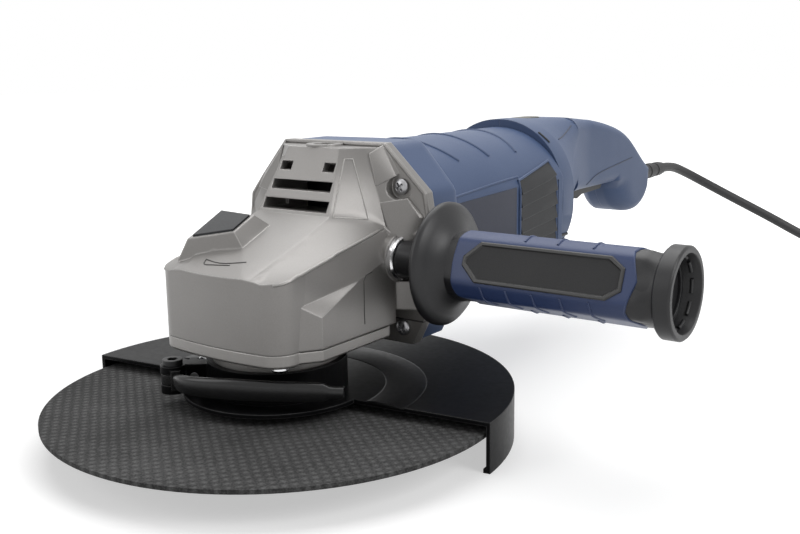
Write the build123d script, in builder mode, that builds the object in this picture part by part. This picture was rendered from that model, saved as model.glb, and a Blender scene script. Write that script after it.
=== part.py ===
"""Two-handed corded angle grinder with a 230 mm cutting disc, as an assembly of separate pieces.

Millimetres. The origin is the centre of the spindle's free lower end, +Z is up along the spindle,
+Y runs back along the motor to the rear grip and +X points out along the side handle.
"""

import os
from math import atan, cos, degrees, hypot, pi, radians, sin, tan

from build123d import *

os.makedirs("parts", exist_ok=True)

# Clearances
press_gap = 0.02
running_gap = 0.06
slip_gap = 0.3
face_gap = 0.4

# Spindle and cutting disc
spindle_thread_r = 7.0
spindle_free = 5.0
spindle_seat_r = 6.95
spindle_collar_r = 13.0
spindle_collar_h = 6.0
spindle_bearing_r = 10.0
spindle_gear_r = 9.0
spindle_journal_r = 6.0
clamp_nut_r = 19.0
clamp_nut_h = 8.0
spanner_hole_r = 2.5
spanner_pitch_r = 14.0
disc_r = 115.0
disc_bore_r = 12.6
disc_thick = 2.0
disc_ring_r = 11.1
flange_r = 21.0
flange_h = 7.0
flange_pilot_h = 1.6

# Bevel gears
motor_z = 85.0
crown_teeth = 44
pinion_teeth = 11
crown_pitch_r = 31.0
face_share = 0.70
tooth_addendum = 0.80
tooth_dedendum = 1.25
tooth_share = 0.40
crown_web_h = 8.0
crown_web_bottom = 62.0
crown_hub_r = 12.5
lock_holes = 8
lock_hole_r = 2.8

# Ball bearings: bore radius, outer radius, width
lower_bearing_r = 23.5
lower_bearing_w = 14.0
front_bearing_bore_r = 6.0
front_bearing_r = 16.0
front_bearing_w = 10.0
rear_bearing_bore_r = 4.0
rear_bearing_r = 11.0
rear_bearing_w = 7.0
bearing_balls = 8
bush_wall = 3.0
bush_h = 11.0

# Bearing cover and gear case
neck_r = 32.0
neck_gap = 1.0
cover_bottom = 44.0
cover_h = 6.4
cover_rear = 36.5
case_recess = 37.0
flare_start = 38.0
bump_half = 43.5
bump_front = -26.0
bump_edge = -13.0
bump_edge_z = 65.3
bump_rise = 0.41
bump_fall = 1.2
case_front = 43.0
case_front_bow = 4.0
case_half = 40.0
case_corner_r = 12.0
case_rear_floor = 57.0
chamber_r = 33.0
chamber_roof = 82.5
roof_front_z = 82.6
roof_slope = 0.40
roof_edge_slope = 0.20
roof_crease_x = 24.0
panel_base_y = 9.3
panel_base_z = 96.0
panel_slope = 1.80
panel_base_half = 26.1
panel_top_half = 16.7
shoulder_y = 40.0
shoulder_base_half = 41.0
shoulder_top_half = 27.3
tower_top_z = 137.6
tower_top_half = 34.0
tower_base_half = 62.5
casting_wall = 4.0
slot_low = (21.3, 107.2, 112.5)
slot_high = (19.7, 116.7, 121.5)
square_hole = (10.3, 18.0, 126.0, 130.4)
flange_front = 47.5
flange_rear = 54.0
flange_half = 58.0
flange_wide_half = 61.0
flange_wide_z = 98.0
flange_left_x = 51.0
flange_left_z = 119.5
flange_left_wide_x = 59.5
flange_left_wide_z = 109.0
flange_top_z = 139.5
flange_top_half = 33.0
flange_shoulder_z = 116.0
flange_bottom_z = 38.0
flange_low_half = 50.0
flange_low_z = 60.0
bowl_r = 44.0
bowl_front = 49.0
flange_screw_x = 44.5
flange_screw_up = 33.5
flange_screw_down = 38.5
flange_screw_r = 2.5
flange_screw_head_r = 4.5
flange_screw_len = 24.0
screw_pocket_r = 6.5
cover_screw_x = 31.0
cover_screw_front = -31.0
cover_screw_rear = 24.0
cover_screw_r = 2.2
cover_screw_head_r = 4.2
cover_screw_len = 14.0
handle_thread_r = 5.92
handle_thread_depth = 18.0
top_boss_y = 41.0
top_boss_r = 9.5
top_boss_h = 1.2
top_thread_depth = 8.0

# Spindle lock
lock_pin_x = -13.2
lock_pin_y = -8.8
lock_pin_r = 2.4
lock_travel = 4.0
lock_pin_lift = 0.8
lock_bezel_h = 8.0
lock_button_proud = 0.8
lock_pocket_floor = 86.0
lock_button_bottom = 91.5
lock_spring_wire = 0.35
lock_spring_r = 3.0
lock_spring_turns = 3

# Guard, clamp band and lever
guard_disc_gap = 4.3
guard_sheet = 2.0
guard_rim_gap = 1.4
guard_depth = 24.3
guard_lip = 3.4
guard_turn = 7.0
guard_chord = 3.8
guard_ring_r = 47.0
band_wall = 3.0
band_h = 15.7
band_split_angle = -143.0
band_split = 4.0
band_lug_r = 43.8
band_lug_w = 8.0
lever_pin_offset = (50.4, 9.6)
lever_pin_r = 2.8
lever_ear_r = 6.2
lever_eye_low = 26.0
lever_eye_high = 31.0
lever_low = 24.0
lever_high = 34.0
lever_thick = 4.5
clamp_bolt_r = 2.2
clamp_bolt_out = 40.0

# Motor housing and motor
housing_r = 52.0
housing_half = 47.0
housing_drop = 47.0
housing_wall = 3.5
housing_rear = 215.6
housing_rear_wall = 197.0
housing_web = 12.0
swivel_neck_r = 34.0
swivel_neck_wall = 6.0
swivel_lip_r = 37.0
swivel_lip_w = 4.0
grille_front = 165.0
grille_rear = 210.0
grille_low = 66.0
grille_high = 106.0
grille_depth = 2.5
grille_slats = 5
stator_front = 95.0
stator_rear = 165.0
stator_window_r = 40.0
pole_half = 16.0
pole_bore_r = 27.5
air_gap = 0.6
coil_over = 8.0
shaft_r = 7.5
pinion_stub_r = 3.5
fan_r = 41.0
fan_front = 58.0
fan_plate = 2.5
fan_blade_w = 9.0
fan_blades = 11
baffle_front = 72.5
baffle_thick = 2.5
baffle_bore_r = 32.0
armature_slots = 12
commutator_front = 180.0
commutator_rear = 195.0
commutator_r = 15.0
brush_w = 10.0
brush_h = 6.0
brush_len = 15.0
brush_box_wall = 2.0

# Rear handle
collar_front = 216.0
collar_rear = 231.0
collar_high = 57.0
collar_low = 43.0
collar_round = 46.0
collar_half = 47.0
handle_wall = 3.0
grip_half = 19.0
grip_start = 285.0
grip_low_z = 87.0
grip_high_z = 140.0
grip_round = 7.0
boot_end = 494.0
boot_r = 5.6
boot_bead_r = 7.2
handle_tip = 427.0
trigger_pivot_y = 366.0
trigger_pivot_z = 94.4
trigger_pin_r = 2.0
trigger_half = 9.5
trigger_front = 303.0
trigger_swing = 1.4
trigger_low = 79.5
switch_front = 292.0
switch_rear = 345.0
switch_low = 104.0
switch_high = 126.0
trigger_spring_y = 314.0
swivel_button_y = 250.0
swivel_button_len = 28.0
swivel_button_w = 13.0
swivel_button_proud = -0.4
swivel_button_rim = 1.6
swivel_shelf_z = 125.0
handle_screw_r = 1.75
handle_screw_head_r = 3.2
handle_boss_r = 4.6
handle_screw_places = ((300.0, 131.0), (352.0, 113.0), (388.0, 101.0), (396.0, 72.0))

# Side handle
side_y = 42.0
side_z = 83.5
side_boss_face = 46.0
side_boss_r = 11.9
side_ring_w = 3.0
side_ring_r = 11.0
side_neck_r = 9.0
bell_start = 62.5
bell_x = 70.0
bell_r = 30.0
sleeve_start = 83.0
sleeve_end = 176.0
sleeve_r = 16.0
sleeve_corner = 5.5
sleeve_tilt = 22.0
sleeve_edge_r = 2.5
sleeve_core_r = 12.0
cup_end = 193.5
cup_r = 20.2
cup_depth = 9.0
cup_rim = 7.5
stud_end = 92.0
panel_len = 76.0
panel_corner = 5.0
panel_w = 18.4
panel_sink = 1.5

# Cord, coil and plug
cord_r = 4.0
coil_x = 212.0
coil_y = 480.0
coil_outer_r = 64.0
coil_turns_in = 3.5
coil_climb = 0.25
coil_rounds = 7
coil_start_angle = 80.0
coil_gap = 0.6
tie_thick = 1.0
tie_w = 8.0
tail_run = 54.0
plug_len = 48.0
plug_half = 18.5
plug_pin_r = 2.4
plug_pin_len = 19.0
plug_pin_pitch = 19.0

# Heights that follow from the driving dimensions
nut_bottom = spindle_free
disc_bottom = nut_bottom + clamp_nut_h
disc_top = disc_bottom + disc_thick
flange_top = disc_top + flange_h
lower_bearing_bottom = flange_top + spindle_collar_h
lower_bearing_top = lower_bearing_bottom + lower_bearing_w
seam_z = cover_bottom + cover_h
guard_bottom = disc_top + guard_disc_gap
guard_top = guard_bottom + guard_sheet
guard_r = disc_r + guard_rim_gap + guard_sheet
floor_z = guard_top - guard_depth
neck_bottom = flange_top + neck_gap
crown_web_top = crown_web_bottom + crown_web_h
journal_top = chamber_roof + bush_h
lock_pin_bottom = crown_web_top + lock_pin_lift
pinion_pitch_r = crown_pitch_r * pinion_teeth / crown_teeth
gear_module = 2 * crown_pitch_r / crown_teeth
cone_length = hypot(crown_pitch_r, pinion_pitch_r)
front_bearing_y = flange_front - 1.5 - front_bearing_w
rear_bearing_y = housing_rear_wall + 2.0
band_r = neck_r + running_gap
band_top = guard_top + band_h

# Planes and axes that several pieces share
spindle_axis = Axis((0, 0, 0), (0, 0, 1))
motor_axis = Axis((0, 0, motor_z), (0, 1, 0))
side_axis = Axis((0, side_y, side_z), (1, 0, 0))
side_plane = Plane((0, side_y, 0), x_dir=(1, 0, 0), z_dir=(0, -1, 0))


def save(piece, name):
    """Label one piece and write its file."""
    piece.label = name
    export_step(piece, f"parts/{name}.step")


def across(y):
    """The plane square to the motor axis at one distance back, with its own x along X and y along Z."""
    return Plane((0, y, 0), x_dir=(1, 0, 0), z_dir=(0, -1, 0))


def along_motor(y):
    """The plane on the motor axis at one distance back, facing the rear."""
    return Plane((0, y, motor_z), x_dir=(1, 0, 0), z_dir=(0, 1, 0))


def turned(points, axis, plane):
    """A piece turned about an axis from its half outline."""
    with BuildPart() as piece:
        with BuildSketch(plane):
            with BuildLine():
                Polyline(*points, close=True)
            make_face()
        revolve(axis=axis)
    return piece.part


def turned_on_spindle(points):
    """A piece turned about the spindle from (radius, height) points."""
    return turned(points, spindle_axis, Plane.XZ)


def turned_on_motor(points):
    """A piece turned about the motor axis from (distance back, radius) points."""
    return turned([(y, motor_z + r) for y, r in points], motor_axis, Plane.YZ)


def turned_on_side(points):
    """A piece turned about the side handle's axis from (distance out, radius) points."""
    return turned([(x, side_z + r) for x, r in points], side_axis, side_plane)


def ball_bearing(plane, bore_r, outer_r, width):
    """The outer ring, and the inner ring with its balls, of one bearing that starts at a plane."""
    race_r = (bore_r + outer_r) / 2
    ball_r = 0.30 * (outer_r - bore_r)
    lip = 0.55 * ball_r
    middle = plane.offset(width / 2)
    with BuildPart() as outer:
        with BuildSketch(plane):
            Circle(outer_r - press_gap)
            Circle(race_r + lip, mode=Mode.SUBTRACT)
        extrude(amount=width)
        with Locations(middle):
            Torus(race_r, ball_r + running_gap, mode=Mode.SUBTRACT)
    with BuildPart() as inner:
        with BuildSketch(plane):
            Circle(race_r - lip)
            Circle(bore_r + press_gap, mode=Mode.SUBTRACT)
        extrude(amount=width)
        with Locations(middle):
            Torus(race_r, ball_r + running_gap, mode=Mode.SUBTRACT)
            with PolarLocations(race_r, bearing_balls):
                Sphere(ball_r)
    return outer.part, inner.part


def unit(vector):
    """A vector of length one."""
    return vector.normalized()


def biarc_line(points, headings):
    """Tangent arcs in pairs through points, each with its own heading."""
    stretches = zip(points, points[1:], headings, headings[1:])
    for start, end, leave, arrive in stretches:
        span = end - start
        both = leave + arrive
        bend = 2 * (1 - leave.dot(arrive))
        lean = span.dot(both)
        reach = (-lean + (lean * lean + bend * span.dot(span)) ** 0.5) / bend
        joint = (start + leave * reach + end - arrive * reach) / 2
        TangentArc(start, joint, tangent=leave)
        turn_in = unit(end - arrive * reach - joint)
        TangentArc(joint, end, tangent=turn_in)


def least_self_gap(points, tube_r, skip):
    """The least clear gap between the turns of a tube, from points on its line."""
    gaps = [
        (a - b).length - 2 * tube_r
        for i, a in enumerate(points)
        for b in points[i + skip :]
    ]
    return min(gaps)


def spring(bottom, height, coil_r, wire_r, turns):
    """An upright coil spring between two heights, standing on a point, as one unbroken wire."""
    rise = height - 2 * wire_r - 2 * press_gap
    steps = 4 * turns
    pitch = rise / turns / (2 * pi)

    def place(turn):
        return bottom + Vector(
            coil_r * cos(turn), coil_r * sin(turn), wire_r + press_gap + pitch * turn
        )

    def heading(turn):
        return unit(Vector(-coil_r * sin(turn), coil_r * cos(turn), pitch))

    angles = [step * pi / 2 for step in range(steps + 1)]
    with BuildPart() as coil:
        with BuildLine() as wire:
            biarc_line([place(a) for a in angles], [heading(a) for a in angles])
        with BuildSketch(Plane(place(0), z_dir=heading(0))):
            Circle(wire_r)
        sweep(path=wire.line)
    return coil.part


# Spindle, with its collar, bearing seat, gear seat and upper journal
spindle = turned_on_spindle(
    [
        (0, 0),
        (spindle_thread_r, 0),
        (spindle_thread_r, nut_bottom),
        (spindle_seat_r, nut_bottom),
        (spindle_seat_r, flange_top),
        (spindle_collar_r, flange_top),
        (spindle_collar_r, lower_bearing_bottom),
        (spindle_bearing_r, lower_bearing_bottom),
        (spindle_bearing_r, lower_bearing_top),
        (spindle_gear_r, lower_bearing_top),
        (spindle_gear_r, crown_web_top),
        (spindle_journal_r, crown_web_top),
        (spindle_journal_r, journal_top - face_gap),
        (0, journal_top - face_gap),
    ]
)
save(spindle, "spindle")

# Clamp nut with four spanner holes
with BuildPart() as clamp_nut:
    with BuildSketch(Plane.XY.offset(nut_bottom)):
        Circle(clamp_nut_r)
        Circle(spindle_seat_r + press_gap, mode=Mode.SUBTRACT)
        with PolarLocations(spanner_pitch_r, 4):
            Circle(spanner_hole_r, mode=Mode.SUBTRACT)
    extrude(amount=clamp_nut_h)
    chamfer(clamp_nut.edges().filter_by(GeomType.CIRCLE).group_by(SortBy.RADIUS)[-1], 1.0)
save(clamp_nut.part, "clamp_nut")

# Inner flange whose pilot centres the disc
inner_flange = turned_on_spindle(
    [
        (spindle_seat_r + press_gap, disc_top - flange_pilot_h),
        (disc_ring_r - running_gap, disc_top - flange_pilot_h),
        (disc_ring_r - running_gap, disc_top),
        (flange_r, disc_top),
        (flange_r, disc_top + flange_h / 2),
        (flange_r - flange_h / 2, flange_top),
        (spindle_seat_r + press_gap, flange_top),
    ]
)
save(inner_flange, "inner_flange")

# Cutting disc and the metal ring in its bore
with BuildPart() as cutting_disc:
    with BuildSketch(Plane.XY.offset(disc_bottom)):
        Circle(disc_r)
        Circle(disc_bore_r, mode=Mode.SUBTRACT)
    extrude(amount=disc_thick)
save(cutting_disc.part, "cutting_disc")

with BuildPart() as disc_ring:
    with BuildSketch(Plane.XY.offset(disc_bottom)):
        Circle(disc_bore_r)
        Circle(disc_ring_r, mode=Mode.SUBTRACT)
    extrude(amount=disc_thick)
save(disc_ring.part, "disc_ring")

# Bevel gears: straight teeth that all point at the crossing of the two axes
gear_apex = Vector(0, 0, motor_z)
crown_cone = atan(crown_teeth / pinion_teeth)
pinion_cone = pi / 2 - crown_cone
tooth_pitch = pi * gear_module
tooth_half = tooth_share * tooth_pitch / 2
pressure = tan(radians(20))


def bevel_tooth(outward, tipward, sideways, sink):
    """One straight bevel tooth, lofted between its outer and inner ends."""
    with BuildPart() as tooth:
        for share in (1.0, face_share):
            end = Plane(gear_apex + outward * cone_length * share, x_dir=sideways, z_dir=outward)
            up = 1 if end.y_dir.dot(tipward) > 0 else -1
            root = -gear_module * tooth_dedendum - sink
            tip = gear_module * tooth_addendum
            root_half = tooth_half - root * pressure
            tip_half = tooth_half - tip * pressure
            with BuildSketch(end):
                with BuildLine():
                    Polyline(
                        (-root_half * share, up * root * share),
                        (root_half * share, up * root * share),
                        (tip_half * share, up * tip * share),
                        (-tip_half * share, up * tip * share),
                        close=True,
                    )
                make_face()
        loft(ruled=True)
    return tooth.part


def root_point(cone, share):
    """The radius and the distance from the apex of a gear's root at one share of the face."""
    drop = gear_module * tooth_dedendum
    radius = (cone_length * sin(cone) - drop * cos(cone)) * share
    distance = (cone_length * cos(cone) + drop * sin(cone)) * share
    return radius, distance


blank_margin = 0.035
crown_root_r, crown_root_d = root_point(crown_cone, 1.0 + blank_margin)
crown_inner_r, crown_inner_d = root_point(crown_cone, face_share - blank_margin)
crown_blank = turned_on_spindle(
    [
        (spindle_gear_r + press_gap, lower_bearing_top),
        (crown_hub_r, lower_bearing_top),
        (crown_hub_r, crown_web_bottom),
        (crown_root_r - crown_web_h / 2, crown_web_bottom),
        (crown_root_r, crown_web_bottom + crown_web_h / 2),
        (crown_root_r, motor_z - crown_root_d),
        (crown_inner_r, motor_z - crown_inner_d),
        (crown_inner_r, crown_web_top),
        (spindle_gear_r + press_gap, crown_web_top),
    ]
)
lock_pitch_r = hypot(lock_pin_x, lock_pin_y)
lock_angle = 180 + degrees(atan(lock_pin_y / lock_pin_x))
tooth_sink = 0.6
crown_tooth = bevel_tooth(
    Vector(0, sin(crown_cone), -cos(crown_cone)),
    Vector(0, cos(crown_cone), sin(crown_cone)),
    Vector(1, 0, 0),
    tooth_sink,
)
with BuildPart() as crown_gear:
    add(crown_blank)
    with PolarLocations(0, crown_teeth, start_angle=180 / crown_teeth):
        add(crown_tooth)
    with BuildSketch(Plane.XY.offset(crown_web_bottom)):
        with PolarLocations(lock_pitch_r, lock_holes, start_angle=lock_angle):
            Circle(lock_hole_r)
    extrude(amount=crown_web_h, mode=Mode.SUBTRACT)
save(crown_gear.part, "crown_gear")

pinion_root_r, pinion_root_d = root_point(pinion_cone, 1.0)
pinion_inner_r, pinion_inner_d = root_point(pinion_cone, face_share)
pinion_hub_end = front_bearing_y
pinion_blank = turned_on_motor(
    [
        (pinion_inner_d, pinion_stub_r + press_gap),
        (pinion_inner_d, pinion_inner_r),
        (pinion_root_d, pinion_root_r),
        (pinion_hub_end, pinion_root_r),
        (pinion_hub_end, pinion_stub_r + press_gap),
    ]
)
pinion_tooth = bevel_tooth(
    Vector(0, cos(pinion_cone), -sin(pinion_cone)),
    Vector(0, -sin(pinion_cone), -cos(pinion_cone)),
    Vector(1, 0, 0),
    tooth_sink,
)
with BuildPart() as pinion:
    add(pinion_blank)
    for step in range(pinion_teeth):
        add(pinion_tooth.rotate(motor_axis, step * 360 / pinion_teeth))
save(pinion.part, "pinion")

# Bearings of the spindle and the armature
lower_outer, lower_inner = ball_bearing(
    Plane.XY.offset(lower_bearing_bottom), spindle_bearing_r, lower_bearing_r, lower_bearing_w
)
save(lower_outer, "lower_bearing_outer")
save(lower_inner, "lower_bearing_inner")
front_outer, front_inner = ball_bearing(
    along_motor(front_bearing_y), front_bearing_bore_r, front_bearing_r, front_bearing_w
)
save(front_outer, "front_bearing_outer")
save(front_inner, "front_bearing_inner")
rear_outer, rear_inner = ball_bearing(
    along_motor(rear_bearing_y), rear_bearing_bore_r, rear_bearing_r, rear_bearing_w
)
save(rear_outer, "rear_bearing_outer")
save(rear_inner, "rear_bearing_inner")

# Bush for the spindle's upper journal
bush_r = spindle_journal_r + bush_wall
with BuildPart() as upper_bush:
    with BuildSketch(Plane.XY.offset(chamber_roof)):
        Circle(bush_r)
        Circle(spindle_journal_r + running_gap, mode=Mode.SUBTRACT)
    extrude(amount=bush_h)
save(upper_bush.part, "upper_bush")


def case_outline():
    """The case's outline from above: a bowed front, round corners and a flare to the rear flange."""
    front = -case_front + case_front_bow
    with BuildLine() as border:
        ThreePointArc((-case_half, front), (0, -case_front), (case_half, front))
        Polyline(
            (case_half, front),
            (case_half, flare_start),
            (flange_half, flange_front),
            (-flange_half, flange_front),
            (-case_half, flare_start),
            (-case_half, front),
        )
    outline = make_face(border.edges())
    fillet(outline.vertices().group_by(Axis.Y)[0], case_corner_r)


def bump_outline(side):
    """The outline from above of the swelling low on one side of the case."""
    Polygon(
        (side * case_half / 2, bump_front),
        (side * case_half, bump_front),
        (side * bump_half, bump_edge),
        (side * bump_half, cover_rear),
        (side * case_half / 2, cover_rear),
        align=None,
    )


# Bearing cover with the neck that carries the guard
cover_screws_at = [
    (side * cover_screw_x, y)
    for side in (-1, 1)
    for y in (cover_screw_front, cover_screw_rear)
]
with BuildPart() as bearing_cover:
    with BuildSketch(Plane.XY.offset(cover_bottom)):
        case_outline()
        bump_outline(1)
        bump_outline(-1)
        with Locations((0, cover_rear)):
            Rectangle(
                4 * flange_half,
                4 * flange_half,
                align=(Align.CENTER, Align.MIN),
                mode=Mode.SUBTRACT,
            )
    extrude(amount=cover_h)
    chamfer(bearing_cover.faces().sort_by(Axis.Z)[0].edges(), 1.2)
    with BuildSketch(Plane.XY.offset(neck_bottom)):
        Circle(neck_r)
    extrude(amount=cover_bottom - neck_bottom)
    with BuildSketch(Plane.XY.offset(lower_bearing_bottom)):
        Circle(lower_bearing_r)
    extrude(amount=seam_z - lower_bearing_bottom, mode=Mode.SUBTRACT)
    with BuildSketch(Plane.XY.offset(neck_bottom)):
        Circle(spindle_collar_r + face_gap)
    extrude(amount=lower_bearing_bottom - neck_bottom, mode=Mode.SUBTRACT)
    with BuildSketch(Plane.XY.offset(cover_bottom)):
        with Locations(*cover_screws_at):
            Circle(cover_screw_r)
    extrude(amount=cover_h, mode=Mode.SUBTRACT)
save(bearing_cover.part, "bearing_cover")


def pan_screw(plane, head_r, shank_r, length):
    """A cross-slotted pan-head screw: the head stands on a plane and the shank runs down into it."""
    head_h = 0.6 * head_r
    with BuildPart(plane) as screw:
        Cylinder(head_r, head_h, align=(Align.CENTER, Align.CENTER, Align.MIN))
        fillet(screw.edges().sort_by(Axis(plane.origin, plane.z_dir))[-1], 0.4 * head_h)
        Cylinder(shank_r, length, align=(Align.CENTER, Align.CENTER, Align.MAX))
        with Locations((0, 0, head_h)):
            Box(1.1 * head_r, 0.26 * head_r, head_h, mode=Mode.SUBTRACT)
            Box(0.26 * head_r, 1.1 * head_r, head_h, mode=Mode.SUBTRACT)
    return screw.part


with BuildPart() as cover_screws:
    for x, y in cover_screws_at:
        under = Plane((x, y, cover_bottom), x_dir=(1, 0, 0), z_dir=(0, 0, -1))
        add(pan_screw(under, cover_screw_head_r, cover_screw_r - press_gap, cover_screw_len))
save(cover_screws.part, "cover_screws")

# Spindle-lock button: a slanted four-sided cap that slides straight down in its bezel
facet_lean = atan(roof_slope)
facet_plane = Plane(
    (0, -case_front, roof_front_z),
    x_dir=(1, 0, 0),
    z_dir=(0, -sin(facet_lean), cos(facet_lean)),
)
lock_corners = [(-27.6, -27.1), (-8.1, -18.6), (-9.6, -5.2), (-30.4, -4.2)]
lock_slide = lock_bezel_h * sin(facet_lean) + case_front
bezel_corners = [(x, (y + lock_slide) / cos(facet_lean)) for x, y in lock_corners]
bezel_foot = 18.0
bezel_rim = 1.4
bezel_flare = 0.55

with BuildPart() as lock_bezel:
    with BuildSketch(facet_plane.offset(lock_bezel_h - bezel_foot)):
        Polygon(*bezel_corners, align=None)
        offset(amount=bezel_rim + bezel_flare * bezel_foot, kind=Kind.INTERSECTION)
    with BuildSketch(facet_plane.offset(lock_bezel_h)):
        Polygon(*bezel_corners, align=None)
        offset(amount=bezel_rim, kind=Kind.INTERSECTION)
    loft(ruled=True)

with BuildPart() as lock_button:
    with BuildSketch(Plane.XY.offset(lock_button_bottom)):
        Polygon(*lock_corners, align=None)
        offset(amount=-slip_gap, kind=Kind.INTERSECTION)
    extrude(amount=4 * lock_bezel_h)
    split(bisect_by=facet_plane.offset(lock_bezel_h + lock_button_proud), keep=Keep.BOTTOM)
save(lock_button.part, "lock_button")

with BuildPart() as lock_pin:
    with BuildSketch(Plane.XY.offset(lock_pin_bottom)):
        with Locations((lock_pin_x, lock_pin_y)):
            Circle(lock_pin_r)
    extrude(amount=lock_button_bottom - lock_pin_bottom)
    chamfer(lock_pin.edges().sort_by(Axis.Z)[0], 0.6)
save(lock_pin.part, "lock_pin")

lock_spring = spring(
    Vector(lock_pin_x, lock_pin_y, lock_pocket_floor),
    lock_button_bottom - lock_pocket_floor,
    lock_spring_r,
    lock_spring_wire,
    lock_spring_turns,
)
save(lock_spring, "lock_spring")

# Gear case: a wedge-roofed head, a faceted tower and the flange that the motor bolts to
flange_screws_at = [
    (side * flange_screw_x, motor_z + rise)
    for side in (-1, 1)
    for rise in (flange_screw_up, -flange_screw_down)
]
roof_reach = 60.0


def roof_section(y):
    """The wedge's cross-section at one distance back."""
    middle = roof_front_z + roof_slope * (y + case_front)
    edge = roof_front_z + roof_edge_slope * (y + case_front)
    fall = (middle - edge) / (case_half - roof_crease_x)
    outer = middle - fall * (roof_reach - roof_crease_x)
    Polygon(
        (-roof_reach, seam_z),
        (roof_reach, seam_z),
        (roof_reach, outer),
        (roof_crease_x, middle),
        (-roof_crease_x, middle),
        (-roof_reach, outer),
        align=None,
    )


def panel_y(z):
    """How far back the slotted panel lies at one height."""
    return panel_base_y + (z - panel_base_z) / panel_slope


def tower_outline(panel_at, panel_half, shoulder_half, rear_half):
    """The tower's outline at one height."""
    Polygon(
        (-rear_half, flange_front),
        (-shoulder_half, shoulder_y),
        (-panel_half, panel_at),
        (panel_half, panel_at),
        (shoulder_half, shoulder_y),
        (rear_half, flange_front),
        align=None,
    )


with BuildPart() as tower:
    with BuildSketch(Plane.XY.offset(panel_base_z)):
        tower_outline(panel_base_y, panel_base_half, shoulder_base_half, tower_base_half)
    with BuildSketch(Plane.XY.offset(tower_top_z)):
        tower_outline(panel_y(tower_top_z), panel_top_half, shoulder_top_half, tower_top_half)
    loft(ruled=True)
    with BuildSketch(Plane.XY.offset(case_rear_floor)):
        tower_outline(panel_base_y, panel_base_half, shoulder_base_half, tower_base_half)
    extrude(amount=panel_base_z - case_rear_floor)
    with Locations((0, 0, tower_top_z)):
        Box(2 * flange_wide_half, 4 * flange_half, 2 * tower_top_z, mode=Mode.INTERSECT)

with BuildPart() as side_bumps:
    for side in (-1, 1):
        with BuildSketch(Plane.XY.offset(seam_z)):
            bump_outline(side)
    extrude(amount=tower_top_z - seam_z)
    for side in (-1, 1):
        split(
            bisect_by=Plane(
                (side * bump_half, bump_edge, bump_edge_z),
                z_dir=(side * bump_fall, -bump_rise, 1),
            ),
            keep=Keep.BOTTOM,
        )

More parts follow.
